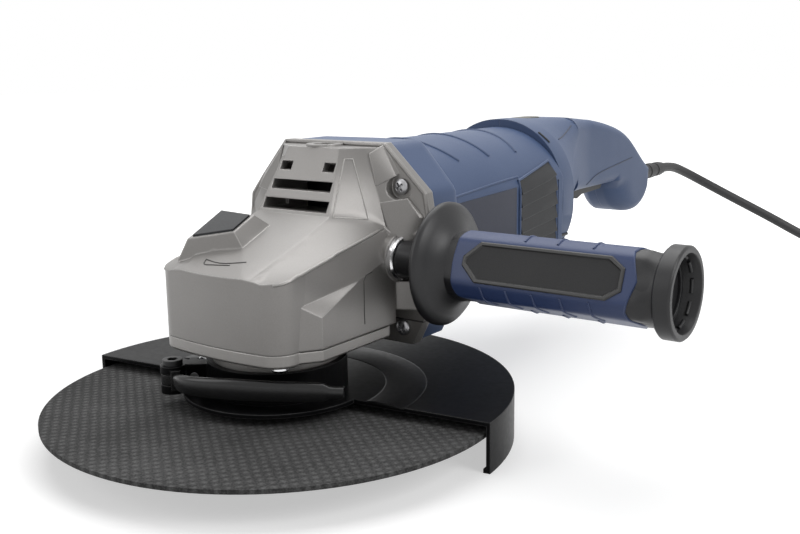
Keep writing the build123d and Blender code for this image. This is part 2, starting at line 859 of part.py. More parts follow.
with BuildPart() as gear_case:
    with BuildSketch(across(-case_front - case_corner_r)):
        roof_section(-case_front - case_corner_r)
    with BuildSketch(across(flange_front + case_corner_r)):
        roof_section(flange_front + case_corner_r)
    loft(ruled=True)
    add(lock_bezel.part)
    with BuildSketch(Plane.XY.offset(seam_z)):
        case_outline()
    extrude(amount=tower_top_z, mode=Mode.INTERSECT)
    add(tower.part)
    add(side_bumps.part)
    with Locations((0, case_recess, seam_z)):
        Box(
            4 * flange_half,
            4 * flange_half,
            2 * (case_rear_floor - seam_z),
            align=(Align.CENTER, Align.MIN, Align.CENTER),
            mode=Mode.SUBTRACT,
        )
    with BuildSketch(across(flange_front)):
        Polygon(
            (-flange_low_half, flange_bottom_z),
            (flange_low_half, flange_bottom_z),
            (flange_wide_half, flange_low_z),
            (flange_wide_half, flange_wide_z),
            (flange_half, flange_shoulder_z),
            (flange_top_half, flange_top_z),
            (-flange_top_half, flange_top_z),
            (-flange_left_x, flange_left_z),
            (-flange_left_wide_x, flange_left_wide_z),
            (-flange_wide_half, flange_wide_z),
            (-flange_wide_half, flange_low_z),
            align=None,
        )
    extrude(amount=flange_front - flange_rear)
    with BuildSketch(Plane.XY.offset(tower_top_z)):
        with Locations((0, top_boss_y)):
            Circle(top_boss_r)
    extrude(amount=top_boss_h)
    # The two handle bosses, each with a flat seat cut clear of the flange
    for side in (-1, 1):
        seat = Plane((side * side_boss_face, side_y, side_z), x_dir=(0, 1, 0), z_dir=(side, 0, 0))
        with BuildSketch(seat):
            Circle(side_boss_r)
        extrude(amount=-handle_thread_depth)
        with BuildSketch(seat):
            Circle(side_boss_r)
        extrude(amount=flange_half, mode=Mode.SUBTRACT)
        with BuildSketch(seat):
            Circle(handle_thread_r)
        extrude(amount=-handle_thread_depth, mode=Mode.SUBTRACT)
    # Gear chamber, bush seat, pinion bore, bearing seat and fan bowl
    with BuildSketch(Plane.XY.offset(seam_z)):
        Circle(chamber_r)
    extrude(amount=chamber_roof - seam_z, mode=Mode.SUBTRACT)
    with BuildSketch(Plane.XY.offset(chamber_roof)):
        Circle(bush_r + press_gap)
    extrude(amount=bush_h, mode=Mode.SUBTRACT)
    with BuildSketch(along_motor(chamber_r - pinion_pitch_r - 2 * slip_gap - casting_wall)):
        Circle(pinion_pitch_r + casting_wall)
    extrude(amount=flange_rear, mode=Mode.SUBTRACT)
    with BuildSketch(along_motor(front_bearing_y)):
        Circle(front_bearing_r)
    extrude(amount=flange_rear, mode=Mode.SUBTRACT)
    with BuildSketch(along_motor(bowl_front)):
        Circle(bowl_r)
    extrude(amount=flange_rear, mode=Mode.SUBTRACT)
    # Air duct behind the slotted panel, with its slots and square holes
    duct_low = slot_low[1] - casting_wall + 1
    duct_high = square_hole[3] - 1.4
    with BuildSketch(Plane.YZ):
        Polygon(
            (panel_y(duct_low) + casting_wall + 1, duct_low),
            (bowl_front + 1, duct_low),
            (bowl_front + 1, duct_high - 9),
            (panel_y(duct_high) + casting_wall + 4, duct_high),
            (panel_y(duct_high) + casting_wall + 1, duct_high),
            align=None,
        )
    extrude(amount=slot_high[0], both=True, mode=Mode.SUBTRACT)
    with BuildSketch(across(panel_base_y)):
        for half, low, high in (slot_low, slot_high):
            with Locations((0, (low + high) / 2)):
                Rectangle(2 * half, high - low)
        near, far, low, high = square_hole
        for side in (-1, 1):
            with Locations((side * (near + far) / 2, (low + high) / 2)):
                Rectangle(far - near, high - low)
    extrude(amount=panel_base_y - panel_y(duct_high) - casting_wall - 2, mode=Mode.SUBTRACT)
    # Screw holes, screw pockets, the top thread and the lock's pocket
    with BuildSketch(across(flange_front)):
        with Locations(*flange_screws_at):
            Circle(flange_screw_r)
    extrude(amount=flange_front - flange_rear, mode=Mode.SUBTRACT)
    with BuildSketch(across(flange_front)):
        with Locations(*flange_screws_at):
            Circle(screw_pocket_r)
    extrude(amount=flange_front, mode=Mode.SUBTRACT)
    with BuildSketch(Plane.XY.offset(seam_z)):
        with Locations(*cover_screws_at):
            Circle(cover_screw_r)
    extrude(amount=cover_screw_len - cover_h, mode=Mode.SUBTRACT)
    with BuildSketch(Plane.XY.offset(tower_top_z + top_boss_h)):
        with Locations((0, top_boss_y)):
            Circle(handle_thread_r)
    extrude(amount=-top_thread_depth, mode=Mode.SUBTRACT)
    with BuildSketch(Plane.XY.offset(lock_pocket_floor)):
        Polygon(*lock_corners, align=None)
    extrude(amount=tower_top_z, mode=Mode.SUBTRACT)
    with BuildSketch(Plane.XY.offset(chamber_roof)):
        with Locations((lock_pin_x, lock_pin_y)):
            Circle(lock_pin_r + running_gap)
    extrude(amount=lock_pocket_floor - chamber_roof, mode=Mode.SUBTRACT)
save(gear_case.part, "gear_case")

with BuildPart() as flange_screws:
    for x, z in flange_screws_at:
        face = Plane((x, flange_front, z), x_dir=(1, 0, 0), z_dir=(0, -1, 0))
        add(pan_screw(face, flange_screw_head_r, flange_screw_r - press_gap, flange_screw_len))
save(flange_screws.part, "flange_screws")

# Disc guard: a part-round plate on a full ring, a skirt and a turned-in lip
with BuildPart() as guard_shell:
    for outer, inner, low, high in (
        (guard_r, 0, guard_bottom, guard_top),
        (guard_r, guard_r - guard_sheet, floor_z, guard_bottom),
        (guard_r, guard_r - guard_lip, floor_z, floor_z + guard_sheet),
    ):
        with BuildSketch(Plane.XY.offset(low)):
            Circle(outer)
            if inner:
                Circle(inner, mode=Mode.SUBTRACT)
            with Locations(Location((0, 0), guard_turn)):
                with Locations((0, -guard_chord)):
                    Rectangle(
                        4 * guard_r,
                        4 * guard_r,
                        align=(Align.CENTER, Align.MAX),
                        mode=Mode.SUBTRACT,
                    )
        extrude(amount=high - low)
    with BuildSketch(Plane.XY.offset(guard_bottom)):
        Circle(guard_ring_r)
    extrude(amount=guard_sheet)
    with BuildSketch(Plane.XY.offset(guard_bottom)):
        Circle(band_r)
    extrude(amount=guard_sheet, mode=Mode.SUBTRACT)
save(guard_shell.part, "guard_shell")

# Clamp band round the neck, with the lugs its bolt draws together and the ears for the lever
split_plane = Plane.XY.rotated((0, 0, band_split_angle))
pin_out, pin_along = lever_pin_offset
ear_low_top = lever_eye_low - slip_gap
ear_high_bottom = lever_eye_high + slip_gap
lug_low = guard_top + 1.7
lug_high = band_top - 2.0
bolt_z = (lever_eye_low + lever_eye_high) / 2
with BuildPart() as clamp_band:
    with BuildSketch(split_plane.offset(guard_top)):
        Circle(band_r + band_wall)
    extrude(amount=band_h)
    for side in (-1, 1):
        with BuildSketch(split_plane.offset(lug_low)):
            with Locations((band_r, side * band_split / 2)):
                Rectangle(
                    band_lug_r - band_r,
                    side * band_lug_w,
                    align=(Align.MIN, Align.MIN),
                )
        extrude(amount=lug_high - lug_low)
    for low, high in ((guard_top, ear_low_top), (ear_high_bottom, lug_high)):
        with BuildSketch(split_plane.offset(low)):
            with Locations((band_r + band_wall, band_split / 2)):
                Rectangle(
                    pin_out - band_r - band_wall,
                    pin_along - band_split / 2,
                    align=(Align.MIN, Align.MIN),
                )
            with Locations((pin_out, pin_along)):
                Circle(lever_ear_r)
        extrude(amount=high - low)
    with BuildSketch(split_plane.offset(guard_top)):
        Circle(band_r)
        with Locations((band_r + band_wall, 0)):
            Rectangle(3 * band_wall, band_split)
        with Locations((pin_out, pin_along)):
            Circle(lever_pin_r)
    extrude(amount=band_h, mode=Mode.SUBTRACT)
    bolt_line = Plane(
        split_plane.offset(bolt_z).from_local_coords((clamp_bolt_out, 0, 0)),
        x_dir=(0, 0, 1),
        z_dir=split_plane.y_dir,
    )
    with BuildSketch(bolt_line):
        Circle(clamp_bolt_r)
    extrude(amount=band_split / 2 + band_lug_w, both=True, mode=Mode.SUBTRACT)
save(clamp_band.part, "clamp_band")

bolt_half = band_split / 2 + band_lug_w
with BuildPart() as clamp_bolt:
    with BuildSketch(bolt_line.offset(-bolt_half)):
        Circle(clamp_bolt_r - press_gap)
    extrude(amount=2 * bolt_half)
    with BuildSketch(bolt_line.offset(-bolt_half)):
        RegularPolygon(1.9 * clamp_bolt_r, 6)
    extrude(amount=-1.6 * clamp_bolt_r)
save(clamp_bolt.part, "clamp_bolt")

with BuildPart() as lever_pin:
    with BuildSketch(split_plane.offset(guard_top)):
        with Locations((pin_out, pin_along)):
            Circle(lever_pin_r - press_gap)
    extrude(amount=lug_high - guard_top)
    with BuildSketch(split_plane.offset(lug_high)):
        with Locations((pin_out, pin_along)):
            Circle(1.75 * lever_pin_r)
    extrude(amount=lever_pin_r)
    with BuildSketch(split_plane.offset(lug_high + lever_pin_r)):
        with Locations((pin_out, pin_along)):
            RegularPolygon(lever_pin_r, 6)
    extrude(amount=-0.7 * lever_pin_r, mode=Mode.SUBTRACT)
save(lever_pin.part, "lever_pin")

# Clamp lever: an eye on the pin and a bowed bar with a flared tip
pin_at = split_plane.from_local_coords((pin_out, pin_along, 0))
lever_start = Vector(pin_at.X, pin_at.Y)
lever_line = (lever_start, (-14.0, -46.5), (20.0, -38.5), (57.0, -17.0))
with BuildPart() as clamp_lever:
    with BuildSketch(Plane.XY.offset(lever_low)):
        with BuildLine():
            Spline(*lever_line)
        trace(line_width=lever_thick)
        with Locations(lever_line[-1]):
            Circle(0.72 * lever_thick)
        with Locations(lever_start):
            Circle(lever_ear_r + 1.0, mode=Mode.SUBTRACT)
    extrude(amount=lever_high - lever_low)
    with BuildSketch(Plane.XY.offset(lever_eye_low)):
        with BuildLine():
            Spline(*lever_line)
        trace(line_width=lever_thick)
        with Locations(lever_start):
            Circle(lever_ear_r - slip_gap)
    extrude(amount=lever_eye_high - lever_eye_low)
    with BuildSketch(Plane.XY.offset(lever_eye_low)):
        with Locations(lever_start):
            Circle(lever_pin_r + slip_gap)
    extrude(amount=lever_eye_high - lever_eye_low, mode=Mode.SUBTRACT)
save(clamp_lever.part, "clamp_lever")


def housing_section(inset):
    """The motor housing's cross-section, drawn in by an even inset."""
    with Locations((0, motor_z)):
        Circle(housing_r - inset)
        Rectangle(2 * (housing_half - inset), 4 * housing_r, mode=Mode.INTERSECT)
    with Locations((0, motor_z - housing_drop + inset)):
        Rectangle(
            4 * housing_r,
            4 * housing_r,
            align=(Align.CENTER, Align.MIN),
            mode=Mode.INTERSECT,
        )


# Motor housing with its screw bosses, bearing wall, swivel neck and grille windows
boss_end = flange_front + flange_screw_len + 1.0
neck_end = housing_rear + 10.4 + swivel_lip_w
grille_mid_y = (grille_front + grille_rear) / 2
grille_mid_z = (grille_low + grille_high) / 2
grille_rebate = 3.0
with BuildPart() as motor_housing:
    with BuildSketch(across(flange_rear)):
        housing_section(0)
    extrude(amount=flange_rear - housing_rear)
    with BuildSketch(across(flange_rear)):
        housing_section(housing_wall)
    extrude(amount=flange_rear - housing_rear_wall, mode=Mode.SUBTRACT)
    with BuildSketch(across(flange_rear)):
        with Locations(*flange_screws_at):
            Circle(screw_pocket_r)
        for x, z in flange_screws_at:
            with Locations((0.88 * x, z)):
                Rectangle(0.24 * flange_screw_x, 2 * screw_pocket_r)
    extrude(amount=flange_rear - boss_end)
    with BuildSketch(across(flange_rear)):
        with Locations(*flange_screws_at):
            Circle(flange_screw_r)
    extrude(amount=flange_rear - boss_end + 1.0, mode=Mode.SUBTRACT)
    with BuildSketch(along_motor(housing_rear)):
        Circle(swivel_neck_r)
    extrude(amount=neck_end - housing_rear)
    with BuildSketch(along_motor(neck_end)):
        Circle(swivel_lip_r)
    extrude(amount=-swivel_lip_w)
    with BuildSketch(along_motor(housing_rear_wall + housing_web)):
        Circle(swivel_neck_r - swivel_neck_wall)
    extrude(amount=neck_end, mode=Mode.SUBTRACT)
    with BuildSketch(along_motor(housing_rear_wall)):
        Circle(rear_bearing_r - 2.0)
        with PolarLocations(rear_bearing_r + 9.0, 4, start_angle=45):
            Circle(5.0)
    extrude(amount=housing_web, mode=Mode.SUBTRACT)
    with BuildSketch(along_motor(housing_rear_wall)):
        Circle(rear_bearing_r)
    extrude(amount=rear_bearing_y + rear_bearing_w - housing_rear_wall, mode=Mode.SUBTRACT)
    for side in (-1, 1):
        with Locations((side * housing_half, grille_mid_y, grille_mid_z)):
            Box(
                2 * grille_depth,
                grille_rear - grille_front,
                grille_high - grille_low,
                mode=Mode.SUBTRACT,
            )
            Box(
                4 * grille_depth,
                grille_rear - grille_front - 6 * grille_rebate,
                grille_high - grille_low - 2 * grille_rebate,
                mode=Mode.SUBTRACT,
            )
save(motor_housing.part, "motor_housing")

# Vent grilles: a plate on each side with slanted slots
with BuildPart() as vent_grilles:
    for side in (-1, 1):
        with Locations((side * (housing_half - grille_depth / 2), grille_mid_y, grille_mid_z)):
            Box(
                grille_depth,
                grille_rear - grille_front - 2 * running_gap,
                grille_high - grille_low - 2 * running_gap,
            )
    slot_pitch = (grille_rear - grille_front) / (grille_slats + 2)
    for step in range(grille_slats):
        slot_y = grille_mid_y + slot_pitch * (step - (grille_slats - 1) / 2) * 0.8
        with Locations(Location((0, slot_y, grille_mid_z), (25, 0, 0))):
            Box(
                4 * housing_half,
                0.45 * slot_pitch,
                0.55 * (grille_high - grille_low),
                mode=Mode.SUBTRACT,
            )
save(vent_grilles.part, "vent_grilles")

# Armature: shaft, laminated core, end windings, commutator and fan
shaft_front = pinion_inner_d
armature_shaft = turned_on_motor(
    [
        (shaft_front, 0),
        (shaft_front, pinion_stub_r),
        (front_bearing_y, pinion_stub_r),
        (front_bearing_y, front_bearing_bore_r),
        (front_bearing_y + front_bearing_w, front_bearing_bore_r),
        (front_bearing_y + front_bearing_w, shaft_r),
        (rear_bearing_y, shaft_r),
        (rear_bearing_y, rear_bearing_bore_r),
        (rear_bearing_y + rear_bearing_w, rear_bearing_bore_r),
        (rear_bearing_y + rear_bearing_w, 0),
    ]
)
save(armature_shaft, "armature_shaft")

core_r = pole_bore_r - air_gap
with BuildPart() as armature_core:
    with BuildSketch(along_motor(stator_front + 1)):
        Circle(core_r)
        with PolarLocations(core_r - 6.0, armature_slots):
            Rectangle(8.0, 5.0, mode=Mode.SUBTRACT)
        with PolarLocations(core_r, armature_slots):
            Rectangle(8.0, 1.8, mode=Mode.SUBTRACT)
        Circle(shaft_r + press_gap, mode=Mode.SUBTRACT)
    extrude(amount=stator_rear - stator_front - 2)
save(armature_core.part, "armature_core")

with BuildPart() as armature_windings:
    for start, run in ((stator_front + 1, -12.0), (stator_rear - 1, 12.0)):
        with BuildSketch(along_motor(start)):
            Circle(core_r - 2.0)
            Circle(shaft_r + 0.5, mode=Mode.SUBTRACT)
        extrude(amount=run)
    rims = armature_windings.edges().filter_by(GeomType.CIRCLE)
    fillet(rims.group_by(SortBy.RADIUS)[-1], 4.0)
save(armature_windings.part, "armature_windings")

with BuildPart() as commutator:
    with BuildSketch(along_motor(commutator_front)):
        Circle(commutator_r)
        Circle(shaft_r + press_gap, mode=Mode.SUBTRACT)
        with PolarLocations(commutator_r, 2 * armature_slots):
            Rectangle(1.6, 0.5, mode=Mode.SUBTRACT)
    extrude(amount=commutator_rear - commutator_front)
save(commutator.part, "commutator")

with BuildPart() as cooling_fan:
    with BuildSketch(along_motor(fan_front)):
        Circle(fan_r)
    extrude(amount=fan_plate)
    with BuildSketch(along_motor(fan_front)):
        Circle(2 * shaft_r)
        with PolarLocations(0.7 * fan_r, fan_blades):
            Rectangle(0.55 * fan_r, 2.0, rotation=20)
    extrude(amount=fan_plate + fan_blade_w)
    with BuildSketch(along_motor(fan_front)):
        Circle(shaft_r + press_gap)
    extrude(amount=fan_plate + fan_blade_w, mode=Mode.SUBTRACT)
save(cooling_fan.part, "cooling_fan")

# Fixed motor pieces: air baffle, field laminations, field coils, brush holders and brushes
with BuildPart() as air_baffle:
    with BuildSketch(across(baffle_front)):
        housing_section(housing_wall + running_gap)
        with Locations((0, motor_z)):
            Circle(baffle_bore_r, mode=Mode.SUBTRACT)
        with Locations(*flange_screws_at):
            Circle(screw_pocket_r + slip_gap, mode=Mode.SUBTRACT)
    extrude(amount=-baffle_thick)
save(air_baffle.part, "air_baffle")

with BuildPart() as stator_core:
    with BuildSketch(across(stator_front)):
        housing_section(housing_wall + running_gap)
        with Locations((0, motor_z)):
            Circle(stator_window_r, mode=Mode.SUBTRACT)
            Rectangle(2 * pole_half, 2 * stator_window_r)
            Circle(pole_bore_r, mode=Mode.SUBTRACT)
    extrude(amount=stator_front - stator_rear)
save(stator_core.part, "stator_core")

with BuildPart() as field_coils:
    with BuildSketch(across(stator_front - coil_over)):
        for side in (-1, 1):
            with Locations((0, motor_z + side * 0.78 * stator_window_r)):
                Rectangle(2 * pole_half + 9.0, 6.0)
    extrude(amount=stator_front - stator_rear - 2 * coil_over)
    with Locations((0, (stator_front + stator_rear) / 2, motor_z)):
        Box(
            2 * pole_half + 0.2,
            stator_rear - stator_front + 0.2,
            4 * stator_window_r,
            mode=Mode.SUBTRACT,
        )
save(field_coils.part, "field_coils")

brush_y = (commutator_front + commutator_rear) / 2
brush_start = commutator_r + 0.1
holder_start = commutator_r + 2.0
holder_end = housing_half - housing_wall - running_gap
with BuildPart() as brush_holders:
    for side in (-1, 1):
        with Locations((side * (holder_start + holder_end) / 2, brush_y, motor_z)):
            Box(
                holder_end - holder_start,
                brush_w + 2 * brush_box_wall,
                brush_h + 2 * brush_box_wall,
            )
        with Locations((side * (holder_start + holder_end) / 2 - side * brush_box_wall, brush_y, motor_z)):
            Box(
                holder_end - holder_start,
                brush_w + 2 * running_gap,
                brush_h + 2 * running_gap,
                mode=Mode.SUBTRACT,
            )
save(brush_holders.part, "brush_holders")

with BuildPart() as carbon_brushes:
    for side in (-1, 1):
        with Locations((side * (brush_start + brush_len / 2), brush_y, motor_z)):
            Box(brush_len, brush_w, brush_h)
save(carbon_brushes.part, "carbon_brushes")

# Rear handle: a collar on the motor's neck that narrows into a closed grip with a hooked end
collar_mid = motor_z + (collar_high - collar_low) / 2
collar_h = collar_high + collar_low
grip_mid = (grip_low_z + grip_high_z) / 2
grip_h = grip_high_z - grip_low_z
grip_turn_r = 12.0


def collar_section(inset):
    """The collar's cross-section, drawn in by an even inset."""
    with Locations((0, collar_mid)):
        RectangleRounded(2 * (collar_half - inset), collar_h - 2 * inset, collar_round - inset)


def grip_section(inset):
    """The grip's cross-section where the collar's taper ends, drawn in by an even inset."""
    with Locations((0, grip_mid)):
        RectangleRounded(2 * (grip_half - inset), grip_h - 2 * inset, grip_turn_r - inset)


def grip_profile(inset):
    """The grip's side view, with every point moved in by about the same inset."""
    start = grip_start - 4 * inset
    tip = handle_tip - 2 * inset
    with BuildLine() as border:
        top = Spline(
            (start, grip_high_z - inset),
            (324, 136 - 1.1 * inset),
            (357, 130.2 - 1.1 * inset),
            (381 - 0.3 * inset, 122.6 - 1.1 * inset),
            (401 - 0.7 * inset, 110.5 - inset),
            (414 - inset, 101.5 - 0.7 * inset),
            (tip, 94 - 0.6 * inset),
        )
        under = Spline(
            (tip - 1.5, 78 + 0.2 * inset),
            (418 - 0.8 * inset, 68 + 0.7 * inset),
            (406 - 0.3 * inset, 62 + inset),
            (390, 61 + inset),
            (375 + 0.6 * inset, 66 + 0.9 * inset),
            (365.5 + inset, 75 + 0.6 * inset),
            (360 + inset, grip_low_z + inset),
        )
        Line(top @ 1, under @ 0)
        Polyline(under @ 1, (start, grip_low_z + inset), top @ 0)
    make_face(border.edges())


with BuildPart() as handle_outer:
    with BuildSketch(Plane.YZ):
        grip_profile(0)
    extrude(amount=grip_half, both=True)
    grip_edges = handle_outer.faces().filter_by(Axis.X).edges()
    fillet(grip_edges.filter_by(lambda edge: edge.center().Y > grip_start + 1), grip_round)
    with BuildSketch(across(collar_front)):
        collar_section(0)
    extrude(amount=collar_front - collar_rear)
    with BuildSketch(across(collar_rear)):
        collar_section(0)
    with BuildSketch(across(grip_start)):
        grip_section(0)
    loft(ruled=True)

collar_wall_end = neck_end - swivel_lip_w - face_gap
with BuildPart() as handle_cavity:
    with BuildSketch(Plane.YZ):
        grip_profile(handle_wall)
    extrude(amount=grip_half - handle_wall, both=True)
    with BuildSketch(across(collar_wall_end)):
        collar_section(handle_wall)
    extrude(amount=collar_wall_end - collar_rear)
    with BuildSketch(across(collar_rear)):
        collar_section(handle_wall)
    with BuildSketch(across(grip_start)):
        grip_section(handle_wall)
    loft(ruled=True)

shelf_run = 16.0
with BuildPart() as handle_ribs:
    with BuildSketch(Plane.YZ):
        with Locations(*handle_screw_places):
            Circle(handle_boss_r)
        with Locations((swivel_button_y, swivel_shelf_z)):
            Rectangle(shelf_run, handle_wall, align=(Align.CENTER, Align.MAX))
    extrude(amount=collar_half, both=True)
    add(handle_cavity.part, mode=Mode.INTERSECT)

trigger_slot_end = 358.0
boot_flange_y = 409.0
screw_head_depth = 6.0
with BuildPart() as handle_shell:
    add(handle_outer.part)
    add(handle_cavity.part, mode=Mode.SUBTRACT)
    add(handle_ribs.part)
    with BuildSketch(along_motor(collar_front)):
        Circle(swivel_neck_r + 2 * running_gap)
    extrude(amount=collar_wall_end - collar_front, mode=Mode.SUBTRACT)
    with BuildSketch(along_motor(boot_flange_y)):
        Circle(boot_r + press_gap)
    extrude(amount=boot_end - boot_flange_y, mode=Mode.SUBTRACT)
    with BuildSketch(Plane.XY.offset(swivel_shelf_z)):
        with Locations((0, swivel_button_y)):
            SlotOverall(swivel_button_len, swivel_button_w, rotation=90)
    extrude(amount=collar_high, mode=Mode.SUBTRACT)
    with Locations((0, trigger_front - face_gap, grip_low_z + handle_wall + 1)):
        Box(
            2 * (trigger_half + face_gap),
            trigger_slot_end - trigger_front + face_gap,
            6 * handle_wall,
            align=(Align.CENTER, Align.MIN, Align.MAX),
            mode=Mode.SUBTRACT,
        )
    with BuildSketch(Plane.YZ):
        with Locations((trigger_pivot_y, trigger_pivot_z)):
            Circle(trigger_pin_r)
    extrude(amount=grip_half - handle_wall / 2, both=True, mode=Mode.SUBTRACT)
    with BuildSketch(Plane.YZ.offset(-grip_half)):
        with Locations(*handle_screw_places):
            Circle(handle_screw_r)
    extrude(amount=2 * grip_half - 2 * handle_wall, mode=Mode.SUBTRACT)
    with BuildSketch(Plane.YZ.offset(-grip_half)):
        with Locations(*handle_screw_places):
            Circle(handle_screw_head_r + slip_gap)
    extrude(amount=screw_head_depth, mode=Mode.SUBTRACT)

with BuildPart() as handle_right:
    add(handle_shell.part)
    split(bisect_by=Plane.YZ, keep=Keep.TOP)
save(handle_right.part, "handle_right")

with BuildPart() as handle_left:
    add(handle_shell.part)
    split(bisect_by=Plane.YZ, keep=Keep.BOTTOM)
save(handle_left.part, "handle_left")

with BuildPart() as handle_screws:
    for y, z in handle_screw_places:
        seat = Plane((screw_head_depth - grip_half, y, z), x_dir=(0, 1, 0), z_dir=(-1, 0, 0))
        add(pan_screw(seat, handle_screw_head_r, handle_screw_r - press_gap, grip_half))
save(handle_screws.part, "handle_screws")

# Trigger with its pin, its spring and the switch it works
trigger_top = trigger_pivot_z + 1.6
with BuildPart() as trigger:
    with BuildSketch(Plane.YZ):
        Polygon(
            (trigger_front, trigger_top),
            (trigger_front + trigger_swing, trigger_low + 3.5),
            (trigger_front + 2 * trigger_swing, trigger_low + 0.8),
            (trigger_front + 9.0, trigger_low),
            (trigger_front + 17.0, trigger_low + 2.5),
            (trigger_slot_end - 7.0, trigger_low + 3.5),
            (trigger_slot_end - 1.5, grip_low_z + 2.0),
            (trigger_slot_end - 1.5, grip_low_z + handle_wall + 2 * face_gap),
            (trigger_pivot_y + 2.0, grip_low_z + handle_wall + 2 * face_gap),
            (trigger_pivot_y + 4.5, trigger_pivot_z),
            (trigger_pivot_y + 2.0, trigger_pivot_z + 4.0),
            (trigger_pivot_y - 4.0, trigger_pivot_z + 4.0),
            (trigger_pivot_y - 8.0, trigger_top),
            align=None,
        )
        with Locations((trigger_pivot_y, trigger_pivot_z)):
            Circle(trigger_pin_r + running_gap, mode=Mode.SUBTRACT)
    extrude(amount=trigger_half, both=True)
save(trigger.part, "trigger")

with BuildPart() as trigger_pin:
    with BuildSketch(Plane.YZ):
        with Locations((trigger_pivot_y, trigger_pivot_z)):
            Circle(trigger_pin_r - press_gap)
    extrude(amount=grip_half - handle_wall / 2 - press_gap, both=True)
save(trigger_pin.part, "trigger_pin")

with BuildPart() as switch_module:
    with Locations((0, (switch_front + switch_rear) / 2, (switch_low + switch_high) / 2)):
        Box(
            2 * (grip_half - handle_wall - running_gap),
            switch_rear - switch_front,
            switch_high - switch_low,
        )
    chamfer(switch_module.edges().filter_by(Axis.X), 2.0)
save(switch_module.part, "switch_module")

trigger_spring = spring(
    Vector(0, trigger_spring_y, trigger_top), switch_low - trigger_top, 4.0, 0.5, 4
)
save(trigger_spring, "trigger_spring")

# Swivel-lock button in the collar's top, with the spring under it
collar_top = motor_z + collar_high
button_rim_low = collar_top - handle_wall - 4.8
with BuildPart() as swivel_button:
    with BuildSketch(Plane.XY.offset(button_rim_low)):
        with Locations((0, swivel_button_y)):
            SlotOverall(
                swivel_button_len - 2 * slip_gap,
                swivel_button_w - 2 * slip_gap,
                rotation=90,
            )
    extrude(amount=collar_top + swivel_button_proud - button_rim_low)
    fillet(swivel_button.faces().sort_by(Axis.Z)[-1].edges(), 0.8)
    with BuildSketch(Plane.XY.offset(button_rim_low)):
        with Locations((0, swivel_button_y)):
            SlotOverall(
                swivel_button_len + 2 * swivel_button_rim,
                swivel_button_w + 2 * swivel_button_rim,
                rotation=90,
            )
    extrude(amount=2.0)
save(swivel_button.part, "swivel_button")

swivel_spring = spring(
    Vector(0, swivel_button_y, swivel_shelf_z), button_rim_low - swivel_shelf_z, 4.0, 0.5, 4
)
save(swivel_spring, "swivel_spring")

# Strain relief: a stepped rubber boot held by its inner flange
boot_outer_y = handle_tip + 1.5
boot_step = (boot_end - boot_outer_y) / 8
boot_points = [
    (boot_flange_y, 0),
    (boot_flange_y, boot_r + 2.4),
    (boot_flange_y + 4.0, boot_r + 2.4),
    (boot_flange_y + 4.0, boot_r),
    (boot_outer_y, boot_r),
]
for step in range(4):
    bead_r = boot_bead_r - 0.4 * step
    bead_y = boot_outer_y + 2 * step * boot_step
    boot_points += [
        (bead_y, bead_r),
        (bead_y + 1.2 * boot_step, bead_r),
        (bead_y + 1.2 * boot_step, bead_r - 0.9),
        (bead_y + 2 * boot_step, bead_r - 0.9),
    ]
boot_points += [(boot_end, 0)]
strain_relief = turned_on_motor(boot_points)
save(strain_relief, "strain_relief")

# Side handle: stud, seat ring, core with a bell, grip sleeve with two panels and an end cup
ring_end = side_boss_face + side_ring_w
stud_bore_r = handle_thread_r + press_gap
side_handle_stud = turned_on_side(
    [
        (side_boss_face - handle_thread_depth + 1.0, 0),
        (side_boss_face - handle_thread_depth + 1.0, handle_thread_r - press_gap),
        (stud_end, handle_thread_r - press_gap),
        (stud_end, 0),
    ]
)
save(side_handle_stud, "side_handle_stud")

side_handle_ring = turned_on_side(
    [
        (side_boss_face, stud_bore_r),
        (side_boss_face, side_ring_r),
        (ring_end - 0.8, side_ring_r),
        (ring_end, side_ring_r - 0.8),
        (ring_end, stud_bore_r),
    ]
)
save(side_handle_ring, "side_handle_ring")

side_handle_core = turned_on_side(
    [
        (ring_end, stud_bore_r),
        (ring_end, side_neck_r),
        (bell_start, side_neck_r),
        (bell_start + 0.25 * (bell_x - bell_start), side_neck_r + 0.30 * (bell_r - side_neck_r)),
        (bell_start + 0.55 * (bell_x - bell_start), side_neck_r + 0.70 * (bell_r - side_neck_r)),
        (bell_x - 3.0, bell_r - 1.2),
        (bell_x, bell_r),
        (bell_x + 3.5, bell_r - 1.0),
        (bell_x + 7.0, sleeve_r + 3.0),
        (sleeve_start, sleeve_r - 0.4),
        (sleeve_start, sleeve_core_r),
        (sleeve_end, sleeve_core_r),
        (sleeve_end, 0),
        (stud_end, 0),
        (stud_end, stud_bore_r),
    ]
)
save(side_handle_core, "side_handle_core")

sleeve_way = Vector(0, cos(radians(sleeve_tilt)), -sin(radians(sleeve_tilt)))
sleeve_plane = Plane((sleeve_start, side_y, side_z), x_dir=sleeve_way, z_dir=(1, 0, 0))
panel_mid = (sleeve_start + sleeve_end) / 2


def panel_face(side):
    """The flat of the sleeve that one panel is let into."""
    middle = Vector(panel_mid, side_y, side_z) + sleeve_way * (side * sleeve_r)
    return Plane(middle, x_dir=(1, 0, 0), z_dir=sleeve_way * side)


def panel_outline(inset):
    """A panel's outline with its corners cut off, drawn in by an even inset."""
    border = Rectangle(panel_len - 2 * inset, panel_w - 2 * inset)
    chamfer(border.vertices(), panel_corner)


